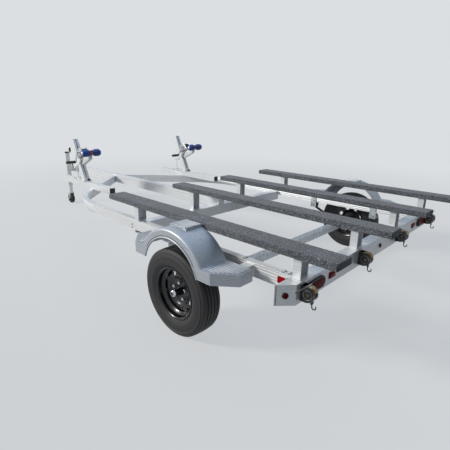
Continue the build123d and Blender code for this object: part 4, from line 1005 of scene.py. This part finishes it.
def winch_places():
    """Each winch's side, the direction along its arm, the one up its post and its places."""
    lean = bpy.context.scene.trailer_stands.lean
    along = Vector((0, -math.cos(lean), math.sin(lean)))
    above = Vector((0, math.sin(lean), math.cos(lean)))
    places = {joint["name"]: joint.get("pos_m") for joint in frame["joints"]}
    for side_name, side in SIDES:
        shaft = Vector(places[f"winch_crank_{side_name}_turn"])
        centre = Vector((side * STAND_X, shaft.y, shaft.z))
        yield side_name, along, above, measured(centre, X, along, above)


def gear(centre, radius, teeth, width):
    """A spur gear across the trailer, with its teeth drawn and its hub raised."""
    a = X.orthogonal().normalized()
    b = X.cross(a)
    points = []
    for n in range(teeth):
        for part, sink in ((0.0, 4.2), (0.22, 4.2), (0.36, 0), (0.64, 0), (0.78, 4.2)):
            turn = math.tau * (n + part) / teeth
            points.append(centre + (a * math.cos(turn) + b * math.sin(turn)) * (radius - sink) * MM)
    hub = lathe([(-1, 0), (-1, radius * 0.34), (width + 3, radius * 0.34), (width + 4, radius * 0.28),
                 (width + 4, 0)], centre, X, steps=24)
    return [prism(points, X * width * MM), hub]


class TRAILER_OT_winches(bpy.types.Operator):
    """Build both winches and the trim of their stands, with the cranks' grips and nuts"""
    bl_idname = "trailer.winches"
    bl_label = "Winches"

    def execute(self, context):
        teeth = context.scene.trailer_stands.gear_teeth
        plates, gears, straps, sleeves, blacks = [], [], [], [], []
        for side_name, along, above, at in winch_places():
            centre = at(0, 0, 0)
            # A deep sleeve over the bow arm
            sleeve = [at(-22, a, b) for a, b in
                      ((-64, -51.2), (128, -51.2), (131, -54), (131, -98), (116, -124), (110, -127),
                       (-64, -127))]
            sleeves.append(prism(sleeve, X * 44 * MM, 1.5))
            # The posts' rear faces have a slot between two flanges, and a dark strip down the slot paints its
            # shade
            for start, stop in ((-266, -104), (60, 190)):
                for x, half, rise, pieces in ((0, 3.6, 1, blacks), (-26, 4, 2.2, sleeves),
                                              (26, 4, 2.2, sleeves)):
                    strip = [at(x + a, -98.2, b) for a, b in
                             ((-half, start), (half, start), (half, stop), (-half, stop))]
                    pieces.append(prism(strip, along * rise * MM, 0.3))
            # Plugs in the ends of the tube under the stand, and a bumper behind the post's foot
            low, high = box(f"winch_tube_{side_name}")
            for y in (low.y - 0.0015, high.y - 0.0185):
                blacks.append(block((low.x + 0.0045, y, low.z + 0.0045),
                                    (high.x - 0.0045, y + 0.02, high.z - 0.0045), 2))
            foot = box(f"winch_post_{side_name}")[0]
            blacks.append(lathe([(0, 0), (0, 15), (2, 17), (15, 17), (19, 14), (20, 0)],
                                (centre.x + 0.018, foot.y + 0.016, foot.z + 0.0055), Z, steps=28, limit=45))
            cheek = ((-56, -50.5), (56, -50.5), (56, -38), (49, -16), (45, 8), (36, 30), (22, 42), (4, 47),
                     (-14, 46), (-31, 37), (-42, 20), (-47, -6), (-56, -36))
            for side in (-1, 1):
                plates.append(prism([at(side * 38, a, b) for a, b in cheek], X * side * 4 * MM, 0.9))
                base = [at(side * x, a, -50.5) for x, a in ((42, -56), (42, 56), (20, 56), (20, -56))]
                plates.append(prism(base, above * 4 * MM, 0.9))
                gears.append(lathe([(0, 0), (0, 41), (2.2, 41), (2.6, 39), (3, 0)],
                                   at(side * 31 - 1.5, 0, 0), X))
            straps.append(lathe(even((28, 0), (28, 34.5), (27, 36)), centre, X, steps=64))
            gears += gear(at(-37.6, 0, 0), 36, teeth, 4)
            gears += gear(at(-37.6, 34, -27), 13, 12, 5)
            for a, b in ((34, -27), (-34, 8), (-38, -38)):
                gears.append(lathe(even((46, 0), (46, 5.5), (43, 6)), at(0, a, b), X, steps=20))
            gears.append(lathe([(-43, 0), (-43, 12), (-48, 12), (-49, 10.5), (-72, 8.9), (-75, 8), (-76, 0)],
                               centre, X, steps=24))
            pawl = [at(43, a, b) for a, b in
                    ((-40, 2), (-28, 2), (-14, 12), (6, 20), (10, 26), (4, 28), (-18, 22), (-36, 18),
                     (-62, 22), (-64, 15), (-42, 9))]
            plates.append(prism(pawl, X * 3.5 * MM, 0.8))

            # The grip is at the crank's far end, below and ahead of the shaft
            low, high = box(f"winch_crank_{side_name}")
            profile = [(-0.5, 0), (-0.5, 11), (1.5, 14.6), (6, 15.2)]
            for n in range(6):
                profile += [(12 + n * 15, 15.6), (16 + n * 15, 14.4), (20 + n * 15, 15.6)]
            profile += [(101, 15.4), (104, 13), (105, 8), (105, 0)]
            grip = lathe(profile, (low.x - 0.0003, high.y - 0.014, low.z + 0.014), X, steps=32, limit=50)
            done(grip, f"crank_grip_{side_name}", "grommet", f"winch_crank_{side_name}")
            nut = spread(bolt(7), [aim((low.x + 0.1075, centre.y, centre.z), -X)])
            done(nut, f"crank_nut_{side_name}", "zinc", f"winch_crank_{side_name}")
        done(plates, "winch_plates", "zinc", "frame", ["winches"])
        done(gears, "winch_gears", "zinc")
        done(sleeves, "bow_arm_sleeves", "aluminium")
        done(blacks, "stand_plugs_and_slot_shade", "grommet")
        done(straps, "winch_straps", "webbing")
        return {"FINISHED"}


class TRAILER_OT_rollers(bpy.types.Operator):
    """Turn the bow rollers, their spools and their caps"""
    bl_idname = "trailer.rollers"
    bl_label = "Bow rollers"

    def execute(self, context):
        r = context.scene.trailer_stands.roller_radius
        blues, spools, pins = [], [], []
        for *_, at in winch_places():
            shaft = at(0, 172, -74)
            for side in (-1, 1):
                roller = [(18.6, 9.1), (18.6, r - 13), (20, r - 10.5), (24, r - 8), (32, r - 3.2),
                          (40, r - 0.6), (46, r), (74, r), (80, r - 0.6), (88, r - 3.2), (96, r - 8),
                          (100, r - 10.5), (101.6, r - 13), (101.6, 9.1), (18.6, 9.1)]
                blues.append(lathe(roller, shaft, X * side, steps=64, limit=40))
                spools.append(lathe([(12.4, 9.1), (12.4, 15.5), (13.2, 16.8), (17.4, 16.8), (18.2, 15.5),
                                     (18.2, 9.1), (12.4, 9.1)], shaft, X * side, steps=40))
                pins.append(lathe([(102.2, 0), (102.2, 15.5), (103, 16.6), (108, 15.6), (110.4, 11),
                                   (111, 0)], shaft, X * side, steps=40, limit=40))
            pins.append(lathe(even((104, 0), (104, 8.9)), shaft, X, steps=24))
            # A copper-toned strip wrapped round the arm's end
            wrap = [at(-12.2, 172 + a, b - 74) for a, b in
                    ((-40, 23.4), (-40, 24.6), (16, 24.6), (19.4, 21), (19.4, -21), (16, -24.6), (-38, -24.6),
                     (-38, -23.4), (14, -23.4), (18.2, -20), (18.2, 20), (14, 23.4))]
            spools.append(prism(wrap, X * 24.4 * MM))
        done(blues, "bow_rollers_turned", "roller", "frame", ["bow_rollers"])
        done(spools, "bow_roller_spools", "spool")
        done(pins, "bow_roller_pins", "zinc")
        return {"FINISHED"}


# Coupler and jack

class TRAILER_OT_coupler(bpy.types.Operator):
    """Bolt the coupler on and give it its latch"""
    bl_idname = "trailer.coupler"
    bl_label = "Coupler"

    def execute(self, context):
        low, high = box("coupler")
        places = [((side * high.x, low.y + y, 0.545), X * side) for side in (-1, 1) for y in (0.025, 0.065)]
        fasteners("coupler_bolts", bolt(7.5), places)
        grip = block((-0.013, high.y - 0.1387, high.z - 0.012),
                     (0.013, high.y - 0.0787, high.z - 0.001), 3.5, 3)
        done(grip, "coupler_latch_grip", "grommet")
        return {"FINISHED"}


class TRAILER_OT_jack(bpy.types.Operator):
    """Dress the jack: its gear cap, grip, pull pin, bolts and wheel"""
    bl_idname = "trailer.jack"
    bl_label = "Jack"

    def execute(self, context):
        top = box("jack_tube")[1].z
        cap = lathe([(0, 0), (0, 33), (3, 35.5), (14, 36), (18, 34), (21, 28), (22, 14), (22, 0)],
                    JACK + Z * 0.778, Z, limit=40)
        grip = lathe([(0, 0), (0, 10), (3, 13.5), (30, 15), (60, 14), (68, 11), (71, 5), (71.5, 0)],
                     (JACK.x, JACK.y - 0.098, top - 0.0725), Z, steps=28, limit=45)
        done([cap, grip], "jack_cap_and_grip", "grommet", "jack_tube")
        collars = [lathe([(0, 28.1), (0, 31.5), (1.5, 33), (10.5, 33), (12, 31.5), (12, 28.1), (0, 28.1)],
                         JACK + Z * z, Z, limit=40) for z in (0.2822, 0.60)]
        done(collars, "jack_collars", "zinc", "jack_tube")

        centre = middle("jack_wheel")
        tread = even((23.8, 45), (24, 60), (22.8, 68), (19, 73), (13, 75.6), (4, 75.9), (3, 74.4))
        web = [lathe([*tread, (20, 43), (8, 42), (-8, 42), (-20, 43), tread[0]], centre, X, steps=64,
                     limit=40),
               lathe([*even((5, 20), (5, 44)), (-5, 20)], centre, X, steps=64),
               lathe([*even((23, 6.1), (23, 17), (21, 18.5)), (-23, 6.1)], centre, X, steps=40)]
        spokes = [Matrix.Translation(centre) @ Matrix.Rotation(math.tau * n / 6, 4, "X") for n in range(6)]
        web += spread(block((-0.016, -0.0025, 0.017), (0.016, 0.0025, 0.0438), 0.8), spokes)
        done(web, "jack_wheel_moulded", "grommet", "jack_wheel", ["jack_wheel"])

        places = [((-0.0445, JACK.y + a, PIVOT_Z + b), -X) for a in (-0.05, 0.05) for b in (-0.034, 0.034)]
        fasteners("jack_bracket_bolts", bolt(6.5), places)
        pin = lathe([(0, 0), (0, 6), (26, 6), (27, 11), (36, 12.5), (40, 10), (41, 0)],
                    (-0.0795, JACK.y, PIVOT_Z + 0.031), (-0.25, 0, 1), steps=24, limit=45)
        done(pin, "jack_pull_pin", "grommet", "jack_tube")
        return {"FINISHED"}


# Stage

class TrailerCamera(bpy.types.PropertyGroup):
    """Where the picture is taken from."""
    place: FloatVectorProperty(name="Place", description="The lens's centre", subtype="TRANSLATION",
                               default=(-2.5583, -3.3557, 1.4085))
    pitch: FloatProperty(name="Pitch", description="Angle below the horizon", subtype="ANGLE",
                         default=0.299892)
    heading: FloatProperty(name="Heading", description="Angle to the right of forward", subtype="ANGLE",
                           default=0.808042)
    roll: FloatProperty(name="Roll", description="Turn about the line of sight", subtype="ANGLE",
                        default=0.014256)
    focal: FloatProperty(name="Focal length", description="In millimetres on a 36 mm sensor", default=29.257)


BACKDROP = "#dcdfe2"
# Each lamp's name, place, size, power and tint
LAMPS = (("key", (-10.5, 6.6, 6.6), 2.6, 1560, (1.0, 0.96, 0.9)),
         ("sky", (0.5, -0.5, 7.0), 7.0, 150, (0.55, 0.75, 1.0)),
         ("fill", (-4.5, -7.0, 4.0), 5.0, 11, (0.5, 0.7, 1.0)))


def looked_at(tree):
    """One for rays from the camera, off gloss or through clear stuff, which see the plain backdrop."""
    rays = add(tree, "LightPath", take=None).outputs
    both = add(tree, "Math", {"operation": "MAXIMUM"}, _0=rays["Is Camera Ray"], _1=rays["Is Glossy Ray"])
    return add(tree, "Math", {"operation": "MAXIMUM"}, _0=both, _1=rays["Is Transmission Ray"])


def painted_floor(tree, place):
    """Painted studio floor: matt and pale, running out into the backdrop."""
    lit = add(tree, "BsdfDiffuse", Color=linear("#e6e6e4"), Roughness=0.6)
    bounced = add(tree, "BsdfDiffuse", Color=linear("#7c7a77"), Roughness=0.6)
    away = add(tree, "VectorMath", {"operation": "LENGTH"}, "Value", _0=place)
    fade = add(tree, "MapRange", {"interpolation_type": "SMOOTHSTEP"}, Value=away, From_Min=2.5, From_Max=9,
               To_Min=0.7, To_Max=1)
    plain = add(tree, "Emission", Color=linear(BACKDROP), Strength=1)
    blended = add(tree, "MixShader", _0=fade, _1=lit, _2=plain)
    return add(tree, "MixShader", _0=looked_at(tree), _1=bounced, _2=blended)


class TRAILER_OT_stage(bpy.types.Operator):
    """Set the camera, the pale floor and the soft lights"""
    bl_idname = "trailer.stage"
    bl_label = "Stage"

    def execute(self, context):
        scene = context.scene
        scene.view_settings.view_transform = "Standard"
        view = scene.trailer_camera
        only()
        bpy.ops.object.camera_add()
        camera = scene.camera = context.object
        p, h, r = view.pitch, view.heading, view.roll
        ahead = Vector((math.sin(h) * math.cos(p), math.cos(h) * math.cos(p), -math.sin(p)))
        level = Vector((math.cos(h), -math.sin(h), 0))
        up = level.cross(ahead)
        right, top = level * math.cos(r) + up * math.sin(r), up * math.cos(r) - level * math.sin(r)
        turn = Matrix((right, top, -ahead)).transposed().to_4x4()
        camera.matrix_world = Matrix.Translation(Vector(view.place)) @ turn
        camera.data.lens = view.focal
        camera.data.sensor_width = 36

        only()
        bpy.ops.mesh.primitive_circle_add(vertices=96, radius=40, fill_type="NGON")
        floor = context.object
        floor.name = "floor"
        floor.data.materials.append(material("painted_floor", painted_floor))

        for name, spot, size, power, tint in LAMPS:
            only()
            bpy.ops.object.light_add(type="AREA", location=spot)
            lamp = context.object
            lamp.name = name
            lamp.rotation_euler = (Vector((0, -0.3, 0.4)) - Vector(spot)).to_track_quat("-Z", "Y").to_euler()
            lamp.data.size = size
            lamp.data.energy = power
            lamp.data.color = tint

        world = scene.world = bpy.data.worlds.new("studio")
        world.use_nodes = True
        tree = world.node_tree
        tree.nodes.clear()
        soft = add(tree, "Background", Color=(0.66, 0.8, 1.0, 1), Strength=0.085)
        white = add(tree, "Background", Color=linear(BACKDROP), Strength=1)
        seen = add(tree, "MixShader", _0=looked_at(tree), _1=soft, _2=white)
        add(tree, "OutputWorld", take=None, Surface=seen)
        return {"FINISHED"}


class TRAILER_PT_panel(bpy.types.Panel):
    """The trailer's pieces, in the order they are made"""
    bl_idname = "TRAILER_PT_panel"
    bl_label = "Trailer"
    bl_space_type = "VIEW_3D"
    bl_region_type = "UI"
    bl_category = "Trailer"

    def draw(self, context):
        for operator in OPERATORS:
            self.layout.operator(operator.bl_idname)


GROUPS = {
    "trailer_colours": TrailerColours,
    "trailer_wheels": TrailerWheels,
    "trailer_fittings": TrailerFittings,
    "trailer_stands": TrailerStands,
    "trailer_camera": TrailerCamera,
}
OPERATORS = (
    TRAILER_OT_finishes, TRAILER_OT_tyres, TRAILER_OT_wheels, TRAILER_OT_bunks, TRAILER_OT_frame_bolts,
    TRAILER_OT_welds, TRAILER_OT_fender_trim, TRAILER_OT_springs, TRAILER_OT_lamps, TRAILER_OT_tie_downs,
    TRAILER_OT_winches, TRAILER_OT_rollers, TRAILER_OT_coupler, TRAILER_OT_jack, TRAILER_OT_stage,
)
CLASSES = (*GROUPS.values(), *OPERATORS, TRAILER_PT_panel)


def register():
    for cls in CLASSES:
        bpy.utils.register_class(cls)
    for name, group in GROUPS.items():
        setattr(bpy.types.Scene, name, PointerProperty(type=group))


def unregister():
    for name in GROUPS:
        delattr(bpy.types.Scene, name)
    for cls in reversed(CLASSES):
        bpy.utils.unregister_class(cls)


def main():
    register()
    for operator in OPERATORS:
        group, name = operator.bl_idname.split(".")
        getattr(getattr(bpy.ops, group), name)()


if __name__ == "__main__":
    main()
